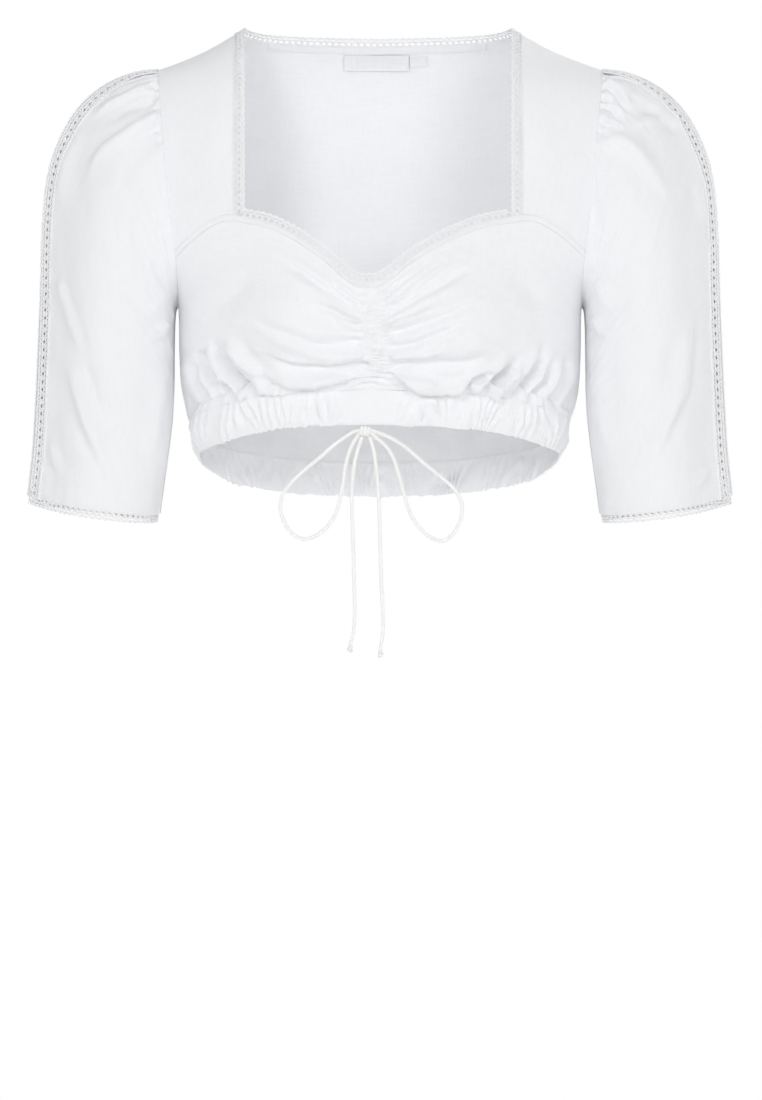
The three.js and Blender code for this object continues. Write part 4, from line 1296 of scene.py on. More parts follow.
@dataclass(frozen=True)
class BustBand:
    """Folded band along the sweetheart edge and the bust seams."""

    wall: float = 1.0
    lift: float = 0.25
    crown: float = 0.3
    rumple_height: float = 0.12
    stitch_inset: float = 0.7
    stitch_lift: float = 0.25
    columns: int = 420
    rows: int = 9

    def build(self) -> None:
        """Makes the band and its two rows of stitches."""
        x = np.linspace(-FORM.bust_edge_end, FORM.bust_edge_end, self.columns)[None, :]
        v = np.linspace(0.0, 1.0, self.rows)[:, None]
        z = FORM.bust_edge(x) - FORM.bust_band_width * v
        angle = FORM.angle_at(x, z)
        surface = Surface(*FORM.face(Side.FRONT, angle, z))
        belly = np.sin(math.pi * v)
        relief = self.lift + self.crown * belly**0.6 + self.rumple_height * rumple(x, z, 14.0, 21) * belly
        piece = cloth_shell("bust_band_cloth", "bust_band", surface, relief, self.wall)
        end = FORM.bust_edge_end - 2.0
        lift = self.lift + self.stitch_lift
        insets = (self.stitch_inset, FORM.bust_band_width - self.stitch_inset)
        rows = [bust_line(-end, end, below).moved(0.0, lift) for below in insets]
        stitches = STITCHING.sew("bust_band_stitches", rows)


@dataclass(frozen=True)
class ShoulderPart:
    """Shoulder part of the front, from the shoulder seam down to the bust band."""

    wall: float = 0.7
    columns: int = 60
    rows: int = 110

    def build(self, hand: Hand) -> None:
        """Makes the part of one side.

        Args:
            hand: Side of the picture that it is on.
        """
        way = hand.value
        u = np.linspace(0.0, 1.0, self.columns)[None, :]
        v = np.linspace(0.0, 1.0, self.rows)[:, None]
        top_x = mix(FORM.neck_edge_x, FORM.shoulder_tip_x, u)
        low_x = mix(FORM.neck_edge_x, FORM.bust_edge_end, u)
        z = mix(FORM.shoulder_line(top_x), FORM.bust_edge(low_x) + FORM.seam_gap, v * v)
        wide = np.where(v == 0.0, top_x, mix(FORM.neck_edge_x, ARMHOLE.read(z, "x"), u))
        angle = way * FORM.angle_at(wide, z)
        normal = FORM.normal(Side.FRONT, angle, z)
        normal[0, :, 1] = 0.0
        surface = Surface(FORM.point(Side.FRONT, angle, z), unit(normal))
        x, z = surface.base[..., 0], surface.base[..., 2]
        held = smooth(0.0, 0.15, v) * (1.0 - smooth(0.93, 1.0, v))
        inside = np.sin(math.pi * np.clip(u, 0, 1)) ** 0.5 * held
        pull = Crease(((way * 170, -90), (way * 150, -120), (way * 128, -146)), -0.9, 7.0)
        sag = Crease(((way * 118, -40), (way * 130, -85), (way * 140, -130)), 0.8, 9.0)
        relief = inside * (0.3 * rumple(x, z, 30.0, 31 + way) + creased((pull, sag), x, z))
        surface, relief = tucked(surface, relief, (Rim.BOTTOM, Rim.END), sink=0.45)
        name = f"shoulder_{hand.word}"
        piece = cloth_shell(name, f"front_{name}", surface, relief, self.wall)


# Creases of the back, listed like those of the front.
BACK_CREASES = hand_placed(
    ((-60, -330, -52, -290, -30, -240), -1.6, 8.0, 0, 0.1),
    ((-20, -345, -16, -305, -24, -262), 1.5, 8.0, 0, 0.1),
    ((30, -342, 24, -300, 38, -252), -1.7, 9.0, 0, 0.1), ((74, -330, 70, -290, 52, -246), 1.4, 8.0, 0, 0.1),
    ((112, -318, 104, -280, 112, -240), -1.8, 8.0, 0, 0.1),
    ((-104, -322, -98, -286, -116, -238), 1.6, 8.0, 0, 0.1),
    ((-158, -150, -120, -120, -84, -108), -1.3, 8.0, 0, 0.1),
    ((158, -146, 126, -112, 92, -98), -1.2, 8.0, 0, 0.1),
    ((-160, -196, -128, -176, -92, -168), -1.2, 7.0, 0, 0.1),
    ((160, -200, 120, -184, 84, -180), -1.3, 7.0, 0, 0.1),
    ((-150, -230, -138, -262, -132, -300), -1.6, 7.0), ((150, -236, 140, -268, 138, -300), -1.6, 7.0),
)


@dataclass(frozen=True)
class BackPanel:
    """Back, from the shoulder seams and the back neck down to the hem band."""

    wall: float = 0.7
    neck_columns: int = 132
    shoulder_columns: int = 34
    rows: int = 130
    gather_height: float = 3.6
    gather_reach: float = 17.0
    crease_gain: float = 1.8

    def build(self, labels: Sequence[Piece]) -> None:
        """Makes the panel.

        Args:
            labels: Labels sewn inside the neck; not used.
        """
        neck_share = FORM.neck_edge_x / FORM.shoulder_tip_x
        neck = neck_share * np.sin(np.linspace(-math.pi / 2, math.pi / 2, self.neck_columns + 1))
        shoulder = np.linspace(neck_share, 1.0, self.shoulder_columns + 1)[1:]
        s = np.concatenate([-shoulder[::-1], neck, shoulder])[None, :]
        v = np.linspace(0.0, 1.0, self.rows)[:, None]
        top_x = s * FORM.shoulder_tip_x
        on_shoulder = np.abs(s) >= neck_share - 1e-9
        top_z = np.where(on_shoulder, FORM.shoulder_line(top_x), BACK_NECK.read(np.abs(top_x), "z"))
        bottom_z = FORM.hem_top(Side.BACK, s * math.pi / 2) + FORM.seam_gap
        z = mix(top_z, bottom_z, v * v)
        lead = FORM.angle_at(top_x, top_z) - s * FORM.edge_angle(top_z)
        angle = s * FORM.edge_angle(z) + lead * (1.0 - v) ** 2
        normal = FORM.normal(Side.BACK, angle, z)
        normal[0, :, 1] = np.where(on_shoulder[0], 0.0, normal[0, :, 1])
        surface = Surface(FORM.point(Side.BACK, angle, z), unit(normal))
        x, z = surface.base[..., 0], surface.base[..., 2]
        along = angle * (BODY_RINGS.rows[-1][1] + BODY_RINGS.rows[-1][3]) / 2
        above = z - (FORM.hem_top(Side.BACK, angle) + FORM.seam_gap)
        reach = self.gather_reach * (1.0 + 0.4 * np.sin(along / 8.0) * np.sin(along / 21.0 + 1.0))
        gathered = GATHERS.above_hem(Side.BACK, along, above, self.gather_height, reach)
        inside = smooth(0.0, 0.2, v) * (1.0 - smooth(0.88, 1.0, np.abs(s))) * smooth(0.0, 3.0, above)
        large = 1.6 * np.sin(9 * angle) * np.cos(angle)
        large = large * smooth(0.55, 0.85, v) * (1.0 - smooth(0.93, 1.0, v))
        soft = 0.35 * rumple(x, z, 38.0, 41) + 0.15 * rumple(x, z, 14.0, 42)
        relief = inside * (large + soft + self.crease_gain * creased(BACK_CREASES, x, z))
        relief = relief + gathered * (1.0 - smooth(0.94, 1.0, np.abs(s)))
        surface, relief = tucked(surface, relief, (Rim.START, Rim.END))
        surface, relief = tucked(surface, relief, (Rim.BOTTOM,), sink=0.6)
        piece = cloth_shell("back_panel", "back", surface, relief, self.wall)


@dataclass(frozen=True)
class HemBand:
    """Casing of the elastic hem, front or back, gathered but for a smooth stretch at the centre front."""

    side: Side
    wall: float = 1.2
    columns: int = 520
    rows: int = 22
    low_half_width: float = 144.5
    low_front: float = 90.0
    low_back: float = 80.0
    gather_height: float = 4.4
    puff: float = 0.7
    crinkle: float = 1.9
    low_share: float = 0.7
    stitched: tuple[float, ...] = (0.93,)
    flat: tuple[float, float] = (0.46, 0.0275)

    @property
    def top_size(self) -> tuple[float, float]:
        """Half-width and depth of the band's upper edge."""
        _, half_width, front, back = BODY_RINGS.rows[-1]
        return half_width, front if self.side is Side.FRONT else back

    def place(self, angle: Array, v: Array) -> Array:
        """Points of the smooth band, v from its upper edge to its lower one."""
        top_half_width, top_depth = self.top_size
        low_depth = self.low_front if self.side is Side.FRONT else self.low_back
        x = mix(top_half_width, self.low_half_width, v) * np.sin(angle)
        y = FORM.seam_gap / 2 + mix(top_depth, low_depth, v) * np.cos(angle)
        z = FORM.hem_top(self.side, angle) - FORM.hem_band_height * v
        return np.stack(np.broadcast_arrays(x + FORM.drift(self.side, x), self.side.value * y, z), axis=-1)

    def surface(self, angle: Array, v: Array) -> Surface:
        """Points and normals of the smooth band."""
        turn = 0.012
        rise = 0.05
        across = self.place(angle + turn, v) - self.place(angle - turn, v)
        up = self.place(angle, v - rise) - self.place(angle, v + rise)
        return Surface(self.place(angle, v), -self.side.value * unit(np.cross(across, up)))

    def relief(self, angle: Array, v: Array) -> Array:
        """Gathers, and the puff between the seam and the lower fold."""
        along = angle * sum(self.top_size) / 2
        belly = np.sin(math.pi * np.clip(v, 0.0, 1.0))
        down = FORM.hem_band_height * v
        wave = GATHERS.wave(self.side, along, down)
        fine = 0.22 * np.cos(FULL_TURN * along / 3.7 + 3.0 * np.sin(along / 14.0) + down / 4.0) * belly
        fine = fine + 0.3 * rumple(along, down, 9.0, 51) * belly
        seam_fade = 1.0 - smooth(0.97, 1.0, np.abs(angle) / (math.pi / 2))
        gathered = 1.0
        if self.side is Side.FRONT:
            gathered = smooth(GATHERS.flat_from - 4, GATHERS.flat_to, np.abs(along))
        swell = GATHERS.seam_height + (self.gather_height - GATHERS.seam_height) * belly
        folds = swell * wave * mix(1.0, self.low_share, smooth(0.6, 1.0, v)) + fine * gathered
        return (folds + self.puff * belly * (0.35 + 0.65 * gathered)) * seam_fade

    def line(self, v: float) -> Edge:
        """Line round the band at a share of its height, on its gathers."""
        angle = np.linspace(-0.97, 0.97, 500) * math.pi / 2
        surface = self.surface(angle, np.full_like(angle, v))
        relief = self.relief(angle, np.full_like(angle, v))
        return Edge(surface.base + surface.normal * relief[:, None], surface.normal)

    def build(self) -> None:
        """Makes the band and its rows of stitches."""
        name = f"hem_band_{self.side.name.lower()}"
        _, half_width, front_depth, _ = BODY_RINGS.rows[-1]
        angle = np.linspace(-1.0, 1.0, self.columns)[None, :] * math.pi / 2
        v = np.linspace(0.0, 1.0, self.rows)[:, None]
        surface = self.surface(angle, v)
        relief = self.relief(angle, v)
        along = angle * (half_width + front_depth) / 2
        edge_wave = GATHERS.wave(self.side, along + 1.5, FORM.hem_band_height)
        lower = self.crinkle * (edge_wave - 0.3) * smooth(0.6, 1.0, v)
        surface.base[..., 2] -= lower * (1.0 - smooth(0.97, 1.0, np.abs(angle) / (math.pi / 2)))
        piece = cloth_shell(f"{name}_cloth", name, surface, relief, self.wall)
        stitches = STITCHING.sew(f"{name}_stitches", [self.line(v) for v in self.stitched])


# Creases of the sleeves' fronts, as seen from the front: x and z in mm.
LEFT_SLEEVE_FRONT = hand_placed(
    ((-178, -41, -204, -48, -226, -61), -1.7, 2.8, 0.2, 0.03),
    ((-179, -51, -192, -51.5, -216, -63, -233, -74.5), -2.3, 2.8, -0.3, 0.03),
    ((-180, -60, -204, -67, -224, -80), 1.9, 4.2, 0, 0.03),
    ((-177.5, -70, -196, -81, -220, -97.5, -229.5, -112, -233, -126), -2.5, 4.6, 0.3, 0.03),
    ((-177, -80, -190, -96, -202, -120, -206, -150), 1.2, 6.0, 0, 0.05),
    ((-233.5, -74.5, -246.5, -97.5, -254, -125.5, -256, -153), -1.4, 5.0),
    ((-177.5, -45, -185.5, -46.5), -1.1, 1.5, 0, 0.05), ((-177.5, -56, -185, -57), -1.1, 1.6, 0, 0.05),
    ((-177.5, -63, -186.5, -65.5), -1.0, 1.4, 0, 0.05),
    ((-177.5, -75, -184, -80), -1.2, 1.6, 0, 0.05), ((-177.5, -85, -187, -94), -1.1, 2.0, 0, 0.05),
    ((-176, -96, -183, -106), -0.8, 1.8, 0, 0.05),
    ((-197.5, -105.5, -201.5, -161.5, -200, -217.5), -1.1, 7.0),
    ((-257.5, -198, -249.5, -221.5, -241, -250, -237, -263), -2.3, 3.6, -0.3, 0.2),
    ((-250, -262, -242, -289.5, -233.5, -317.5, -222.5, -344, -210, -364), -3.0, 5.0, 0.3),
    ((-238, -262, -229, -292, -216, -328), 1.5, 5.0), ((-264, -329.5, -258.5, -347, -251, -363), -1.6, 3.4),
    ((-224, -293.5, -201.5, -296), -0.7, 3.4), ((-216, -170, -214, -196), -0.7, 3.0),
    ((-173.5, -265.5, -177.5, -313.5, -184, -353.5), -1.3, 6.0),
    ((-169, -236, -176, -246, -190, -252), -1.3, 3.0, 0, 0.05),
    ((-170, -210, -180, -226, -196, -236), -1.0, 4.0, 0, 0.05),
)
RIGHT_SLEEVE_FRONT = hand_placed(
    ((178.4, -41, 190, -50, 198, -61, 208, -63), -2.2, 2.4, 0.2, 0.03),
    ((178, -50, 189.5, -63, 200, -81), -1.6, 2.6, -0.2, 0.03),
    ((176.5, -72, 186, -76, 197.5, -82.5), -2.2, 2.2, 0.3, 0.03),
    ((200, -81.5, 212, -74, 224, -72, 241.5, -75), -1.7, 3.6),
    ((185.5, -45.5, 220, -63, 236, -77.5, 248, -98), -1.5, 4.6, 0.2, 0.1),
    ((208, -63, 230, -74, 244, -92), 1.5, 4.0),
    ((175, -91, 192, -89.5, 201.5, -97, 213, -112, 225.5, -129.5, 232, -147), -2.0, 4.4, 0.3,
     0.03),
    ((178, -99, 196, -108, 208, -128, 214, -152), 1.1, 6.0, 0, 0.05),
    ((178, -44, 186, -47), -1.1, 1.5, 0, 0.05),
    ((177.6, -57, 186, -60), -1.1, 1.6, 0, 0.05),
    ((176.8, -66, 187, -71), -1.0, 1.4, 0, 0.05),
    ((176, -80, 184, -84), -1.1, 1.5, 0, 0.05),
    ((175, -87, 184, -95), -1.2, 1.8, 0, 0.05),
    ((174, -98, 182, -105), -0.8, 1.8, 0, 0.05),
    ((173.5, -105.5, 178.5, -137.5, 185.5, -169.5), -1.5, 5.6, 0.2),
    ((253.5, -217.5, 245.5, -236, 240, -289.5, 228, -321.5, 213.5, -356), -2.9, 5.0, -0.3),
    ((238, -240, 231, -285, 218, -320), 1.3, 5.5),
    ((261.5, -351, 256, -360, 250, -367), -1.8, 3.4),
    ((254, -121.5, 257.5, -161.5), -1.1, 4.0),
    ((212, -180, 204, -240, 196, -300), -0.8, 8.0),
    ((173, -262, 176, -310, 186, -350), -1.2, 6.0),
    ((169, -232, 176, -244, 190, -250), -1.3, 3.0, 0, 0.05),
    ((171, -204, 182, -222, 198, -232), -1.0, 4.0, 0, 0.05),
)

# Creases of the sleeves' backs: mm round from the underarm seam and mm down from the armhole.
LEFT_SLEEVE_BACK = hand_placed(
    ((36, 150, 48, 240, 56, 340), -2.0, 8.0), ((60, 90, 74, 170, 80, 270, 74, 380), -2.4, 7.0, -0.2, 0.1),
    ((92, 60, 96, 150, 104, 250), 1.8, 8.0, 0, 0.1),
    ((118, 40, 112, 120, 118, 210, 110, 300), -2.0, 6.0, 0, 0.05),
    ((124, 270, 104, 330, 84, 380), -1.7, 6.0), ((138, 8, 130, 30, 116, 52), -1.9, 4.0, 0, 0.05),
    ((126, 6, 116, 24, 98, 44), -2.0, 3.6, 0, 0.05), ((112, 6, 100, 26, 84, 38), -1.5, 3.6, 0, 0.05),
)
RIGHT_SLEEVE_BACK = hand_placed(
    ((30, 130, 44, 220, 50, 320), -1.8, 8.0), ((52, 100, 70, 200, 84, 290, 86, 386), -2.5, 7.0, 0.2, 0.1),
    ((88, 80, 92, 180, 98, 270), 1.7, 9.0, 0, 0.1), ((112, 60, 118, 150, 110, 240), -1.9, 7.0, 0, 0.05),
    ((126, 250, 112, 320, 96, 372), -1.8, 6.0), ((136, 6, 124, 26, 110, 46), -2.0, 3.8, 0, 0.05),
    ((122, 6, 108, 24, 96, 50), -1.8, 3.6, 0, 0.05), ((106, 6, 96, 20, 78, 34), -1.5, 3.4, 0, 0.05),
)


@dataclass(frozen=True)
class Sleeve:
    """One sleeve: front and back cloth, lace insertion and cuff lace."""

    hand: Hand
    wall: float = 0.7
    columns: int = 112
    rows: int = 140
    cap_bias: float = 1.35
    insertion_width: float = 14.0
    girth: float = 150.0
    length: float = 400.0
    rumple_height: float = 0.5
    crease_gain: float = 1.5
    stitch_inset: float = 1.2
    stitch_lift: float = 0.05
    cuff_stitch_v: float = 0.965
    line_points: int = 300
    cuff_points: int = 400

    def relief(self, surface: Surface, w: Array, v: Array) -> Array:
        """Puckers at the cap, creases and soft rumples, by place on the right sleeve."""
        left = self.hand is Hand.LEFT
        near = np.where(w > 1.0, w - 2.0, w)
        turn = 1.35 if left else 1.0
        uneven = 0.9 * np.sin(near * 21.0 * turn + 1.0) + 0.5 * np.sin(near * 47.0 + turn)
        phase = near / SLEEVE.cap_gather_span * math.pi * SLEEVE.cap_gathers + uneven
        in_cap = 1.0 - smooth(SLEEVE.cap_gather_span * 0.9, SLEEVE.cap_gather_span * 1.5, np.abs(near))
        reach = SLEEVE.cap_gather_reach * (1.0 + 0.6 * np.sin(near * 33.0 * turn))
        puckers = SLEEVE.cap_gather_height * in_cap * np.exp(-v / reach) * np.cos(phase)
        broad = SLEEVE.broad_height * in_cap * np.exp(-v / SLEEVE.broad_reach)
        puckers = puckers + broad * np.cos(phase * SLEEVE.broad_share + turn)
        across, down = w * self.girth, v * self.length
        x, z = self.hand.value * surface.base[..., 0], surface.base[..., 2]
        front = creased(LEFT_SLEEVE_FRONT if left else RIGHT_SLEEVE_FRONT, x, z)
        back = creased(LEFT_SLEEVE_BACK if left else RIGHT_SLEEVE_BACK, across - self.girth, down)
        creases = self.crease_gain * np.where(w <= 1.0, front, back)
        seed = 60 + self.hand.value
        soft = rumple(across, down, 46.0, seed) + 0.4 * rumple(across, down, 17.0, seed + 2)
        seam = np.minimum(np.abs(w - 1.0), np.minimum(w, 2.0 - w))
        held = smooth(0.0, 0.022, v) * smooth(0.0, 0.1, seam)
        folds = (creases + self.rumple_height * soft) * held
        return puckers * smooth(0.0, 0.006, v) * smooth(0.0, 0.05, seam) + folds

    def cloth(self, name: str, w: Array, v: Array, rims: Sequence[Rim]) -> Piece:
        """Cloth of one part of the sleeve, front or back, with the rims that are turned under."""
        surface = SLEEVE.surface(w, v)
        relief = self.relief(surface, w, v)
        surface, relief = tucked(surface, relief, rims, sink=0.8, reach=1.2)
        mirrored = self.hand is Hand.LEFT
        return cloth_shell(f"{name}_cloth", name, surface, relief, self.wall, mirrored=mirrored)

    def edge(self, w: Array, v: Array, closed: bool = False) -> Edge:
        """Line on the sleeve's cloth, gathers and creases included, on this hand's side."""
        surface = SLEEVE.surface(w, v)
        base = surface.base + surface.normal * self.relief(surface, np.mod(w, 2.0), v)[:, None]
        edge = Edge(base, surface.normal, closed)
        return edge.mirrored() if self.hand is Hand.LEFT else edge

    def build(self) -> None:
        """Makes the sleeve's four pieces and its stitches."""
        hand = self.hand.word
        v = (np.linspace(0.0, 1.0, self.rows) ** 1.15)[:, None]
        u = (np.linspace(0.0, 1.0, self.columns) ** self.cap_bias)[None, :]
        seam = float(SLEEVE.girth_share(FORM.seam_gap / 2, np.array([0.9]))[0])
        insertion = SLEEVE.girth_share(self.insertion_width + FORM.seam_gap, v[:, 0])[:, None]
        gap = SLEEVE.girth_share(FORM.seam_gap, v[:, 0])[:, None]
        front = self.cloth(f"sleeve_front_{hand}", mix(insertion, 1.0 - seam, u), v, (Rim.START,))
        back = self.cloth(f"sleeve_back_{hand}", mix(2.0 - gap, 1.0 + seam, u), v, (Rim.START, Rim.END))
        insertion_lace = self.insertion(hand)
        cuff = self.cuff(hand)
        stitches = self.stitches(hand, insertion[:, 0], gap[:, 0], v[:, 0])

    def stitches(self, hand: str, insertion: Array, gap: Array, v: Array) -> Piece:
        """Stitches beside the insertion and above the cuff lace."""
        beside = SLEEVE.girth_share(self.stitch_inset, v)
        round_w = np.linspace(0.02, 1.98, self.line_points)
        rows = [
            self.edge(insertion + beside, v), self.edge(2.0 - gap - beside, v),
            self.edge(round_w, np.full_like(round_w, self.cuff_stitch_v)),
        ]
        return STITCHING.sew(f"sleeve_stitches_{hand}", [row.moved(0.0, self.stitch_lift) for row in rows])

    def insertion(self, hand: str) -> Piece:
        """Lace insertion down the outer fold."""
        v = np.linspace(0.004, 1.0, self.line_points)
        w = SLEEVE.girth_share(self.insertion_width / 2 + 0.15, v)
        surface = SLEEVE.surface(w, v)
        edge = Edge(surface.base, surface.normal)
        edge = edge.mirrored() if self.hand is Hand.LEFT else edge
        return INSERTION.lay(f"insertion_lace_{hand}", edge, f"sleeve_insertion_{hand}")

    def cuff(self, hand: str) -> Piece:
        """Lace round the cuff."""
        w = np.linspace(0.0, 2.0, self.cuff_points)[:-1]
        edge = self.edge(w, np.ones_like(w), closed=True).facing(0, 0, -1)
        return EDGING.lay(f"cuff_edging_{hand}", edge, f"cuff_lace_{hand}")


@dataclass(frozen=True)
class Lace:
    """Crocheted lace, one unit of threads repeated along an edge between flat rails."""

    pitch: float
    per_unit: int
    lift: float
    thread: float

    def strand(self, threads: Threads, path: Points, size: float = 1.0) -> None:
        """Adds a thread, its radius a share of the lace's usual one."""
        threads.add(path, self.thread * size, relief=flat_section)

    def lay(self, name: str, edge: Edge, node: str) -> Piece:
        """Lays the lace along a line.

        Args:
            name: Name of the piece.
            edge: Cut edge whose outward side is the edging's, or middle line of the insertion.
            node: Solid that the piece stands for.

        Returns:
            The finished lace.
        """
        material = FINISHES.get(LACE_THREAD, on_cloth=False)
        threads = Threads()
        self.fill_unit(threads)
        shape = threads.piece("lace unit", material)
        spaced = edge.spaced(self.pitch, self.per_unit).moved(0.0, self.lift)
        piece = REPEATS.lay(name, spaced, shape, self.per_unit, self.rails(), material)
        drop(shape)
        return fit(piece, LACE_THREAD, node)


@dataclass(frozen=True)
class LaceEdging(Lace):
    """Edging sewn over the cloth's edge: two rows of pointed holes between three rails, under a dense
    scalloped edge with picots."""

    pitch: float = 5.2
    per_unit: int = 4
    lift: float = 0.25
    thread: float = 0.28
    rail_reaches: tuple[float, float, float] = (-3.15, -0.25, 3.4)
    rail_half_width: float = 0.55
    post_size: float = 1.4
    cross_half: float = 2.1
    cross_lift: float = 0.12
    scallop_centre: float = 4.3
    scallop_rises: tuple[float, float] = (2.0, 1.1)
    scallop_lift: float = 0.1
    picots: int = 3
    picot_length: float = 0.75

    def rails(self) -> list[tuple[float, float]]:
        """Reach and half-width of each rail."""
        return [(reach, self.rail_half_width) for reach in self.rail_reaches]

    def fill_unit(self, threads: Threads) -> None:
        """Adds one crossing of threads with its scallop and picots."""
        half, raised = self.pitch / 2, self.scallop_lift
        low, middle, high = self.rail_reaches
        for start, end, x in ((low, middle, half), (middle, high, 0.0)):
            for reach in (-self.cross_half, self.cross_half):
                crossing = (x, (start + end) / 2, self.cross_lift)
                self.strand(threads, [(x - reach, start, 0), crossing, (x + reach, end, 0)])
            self.strand(threads, [(x, start, 0), (x, end, 0)], self.post_size)
        for rise in self.scallop_rises:
            width = half * mix(0.55, 1.0, (rise - self.scallop_rises[1]) / np.ptp(self.scallop_rises))
            turns = np.linspace(0.0, math.pi, 7)
            arc = [(width * math.cos(a), self.scallop_centre + rise * math.sin(a), raised) for a in turns]
            self.strand(threads, arc)
        for turn in np.linspace(0.3, 0.7, self.picots) * math.pi:
            reach = self.scallop_centre + self.scallop_rises[0] * math.sin(turn)
            x = half * math.cos(turn)
            tip = (x * 1.12, reach + self.picot_length * math.sin(turn), raised)
            self.strand(threads, [(x, reach, raised), tip])


@dataclass(frozen=True)
class LaceInsertion(Lace):
    """Insertion: a middle row of pointed holes, a row of small ones at each side, and rails between."""

    pitch: float = 6.4
    per_unit: int = 4
    lift: float = -0.55
    thread: float = 0.36
    hole_half: float = 1.85
    side_rails: tuple[tuple[float, float], ...] = ((2.25, 0.85), (4.6, 0.72), (5.85, 0.55))
    cross_half: float = 2.9
    cross_lift: float = 0.2
    cross_size: float = 0.9
    post_size: float = 1.1

    def rails(self) -> list[tuple[float, float]]:
        """Reach and half-width of each rail on both sides of the middle."""
        return [(side * reach, half_width) for side in (-1, 1) for reach, half_width in self.side_rails]

    def fill_unit(self, threads: Threads) -> None:
        """Adds one crossing between two large holes, with the posts between the small ones."""
        edge = self.hole_half
        for side in (-1, 1):
            reach = self.cross_half * side
            cross = [(-reach, -edge, 0), (0, 0, self.cross_lift), (reach, edge, 0)]
            self.strand(threads, cross, self.cross_size)
            for x in (0.0, self.pitch / 2):
                post = [(x, reach * side, 0) for reach, _ in self.side_rails[:2]]
                self.strand(threads, post, self.post_size)
        self.strand(threads, [(0, -edge, 0), (0, edge, 0)], self.post_size)


EDGING = LaceEdging()
INSERTION = LaceInsertion()


@dataclass(frozen=True)
class NeckTrim:
    """Lace round the neck in four lengths, the binding inside the back neck and the neck stitches."""

    front_end_x: float = 106.0
    binding_end_x: float = 88.0
    binding_width: float = 5.0
    binding_wall: float = 0.7
    binding_sink: float = 0.9
    binding_inset: float = 0.6
    binding_columns: int = 220
    binding_rows: int = 7
    line_points: int = 260
    strap_points: int = 200
    stitch_inset: float = 1.4
    stitch_lift: float = 0.05

    def back_line(self, below: float, end_x: float) -> Edge:
        """Line under the back neck edge."""
        x = end_x * np.sin(np.linspace(-math.pi / 2, math.pi / 2, self.line_points))
        z = BACK_NECK.read(np.abs(x), "z") - below
        angle = FORM.angle_at(x, z)
        return Edge(*FORM.face(Side.BACK, angle, z))

    def strap_line(self, hand: Hand, inset: float) -> Edge:
        """Line down the strap's neck edge."""
        t = np.linspace(0.0, 1.0, self.strap_points)
        x = FORM.neck_edge_x + inset
        z = mix(FORM.neck_point_z, FORM.bust_edge(np.array(FORM.neck_edge_x)) + 1.0, t**1.25)
        angle = hand.value * FORM.angle_at(x, z)
        normal = FORM.normal(Side.FRONT, angle, z)
        normal[0, 1] = 0.0
        return Edge(FORM.point(Side.FRONT, angle, z), unit(normal))

    def build(self) -> None:
        """Makes the neck's lace, binding and stitches."""
        front = bust_line(-self.front_end_x, self.front_end_x, 0.0, 300)
        EDGING.lay("neck_edging_front", front.facing(0, 0, 1), "neck_lace_front")
        for hand in Hand:
            strap = self.strap_line(hand, 0.0).facing(-hand.value, 0, 0)
            EDGING.lay(f"neck_edging_{hand.word}", strap, f"neck_lace_{hand.word}")
        back = self.back_line(0.0, FORM.neck_edge_x)
        EDGING.lay("neck_edging_back", back.facing(0, 0, 1), "neck_lace_back")
        rows = [self.strap_line(hand, self.stitch_inset) for hand in Hand]
        rows.append(self.back_line(self.stitch_inset, FORM.neck_edge_x - 3.0))
        rows.append(self.back_line(self.binding_width + 0.4, self.binding_end_x))
        STITCHING.sew("neck_stitches", [row.moved(0.0, self.stitch_lift) for row in rows])
        self.binding()

    def binding(self) -> None:
        """Narrow binding on the inside of the back neck."""
        x = np.linspace(-self.binding_end_x, self.binding_end_x, self.binding_columns)[None, :]
        v = np.linspace(0.0, 1.0, self.binding_rows)[:, None]
        z = BACK_NECK.read(np.abs(x), "z") - self.binding_inset - self.binding_width * v
        angle = FORM.angle_at(x, z)
        surface = Surface(*FORM.face(Side.BACK, angle, z))
        relief = -self.binding_sink - 0.25 * np.sin(math.pi * v) ** 0.6
        piece = cloth_shell("neck_binding", "back_neck_binding", surface, relief, self.binding_wall)


@dataclass(frozen=True)
class Label:
    """Bare woven label on the inside of the back neck, with a folded hem at each end."""

    name: str
    node: str
    from_x: float
    to_x: float
    top_z: float
    height: float
    sink: float = 1.5
    wall: float = 0.45
    hem: float = 0.35
    curl: float = 0.9
    columns: int = 48
    rows: int = 16

    def build(self) -> Piece:
        """Makes the label."""
        u = np.linspace(0.0, 1.0, self.columns)[None, :]
        v = np.linspace(0.0, 1.0, self.rows)[:, None]
        x = mix(self.from_x, self.to_x, u)
        z = self.top_z - self.height * v
        angle = FORM.angle_at(x - FORM.drift(Side.BACK, x), z)
        surface = Surface(*FORM.face(Side.BACK, angle, z))
        folded = 1.0 - smooth(0.03, 0.05, np.minimum(u, 1.0 - u))
        wave = 0.25 * np.sin(FULL_TURN * u * 1.3 + 0.4) * v
        relief = -self.sink - self.hem * folded - self.curl * v**3 - wave
        return cloth_shell(self.name, self.node, surface, relief, self.wall, SATIN)


LABELS = (
    Label("neck_label", "label", -29.0, 23.5, -20.0, 12.0),
    Label("size_tab", "size_label", 24.2, 38.0, -20.4, 8.0),
)


class FarEnd(Enum):
    """What a cord's other end does."""

    OBJECT = "object"
    KNOT = "knot"


LOOP_Y = -91.3
TAIL_Y = -89.7


@dataclass(frozen=True)
class CordRoute:
    """Route of one stretch of the drawstring through given points, with its real length in mm."""

    name: str
    far_end: FarEnd
    length: float
    points: tuple[tuple[float, float, float], ...]

    @property
    def node(self) -> str:
        """Solid that the stretch stands for."""
        return self.name.replace("drawstring", "tie")


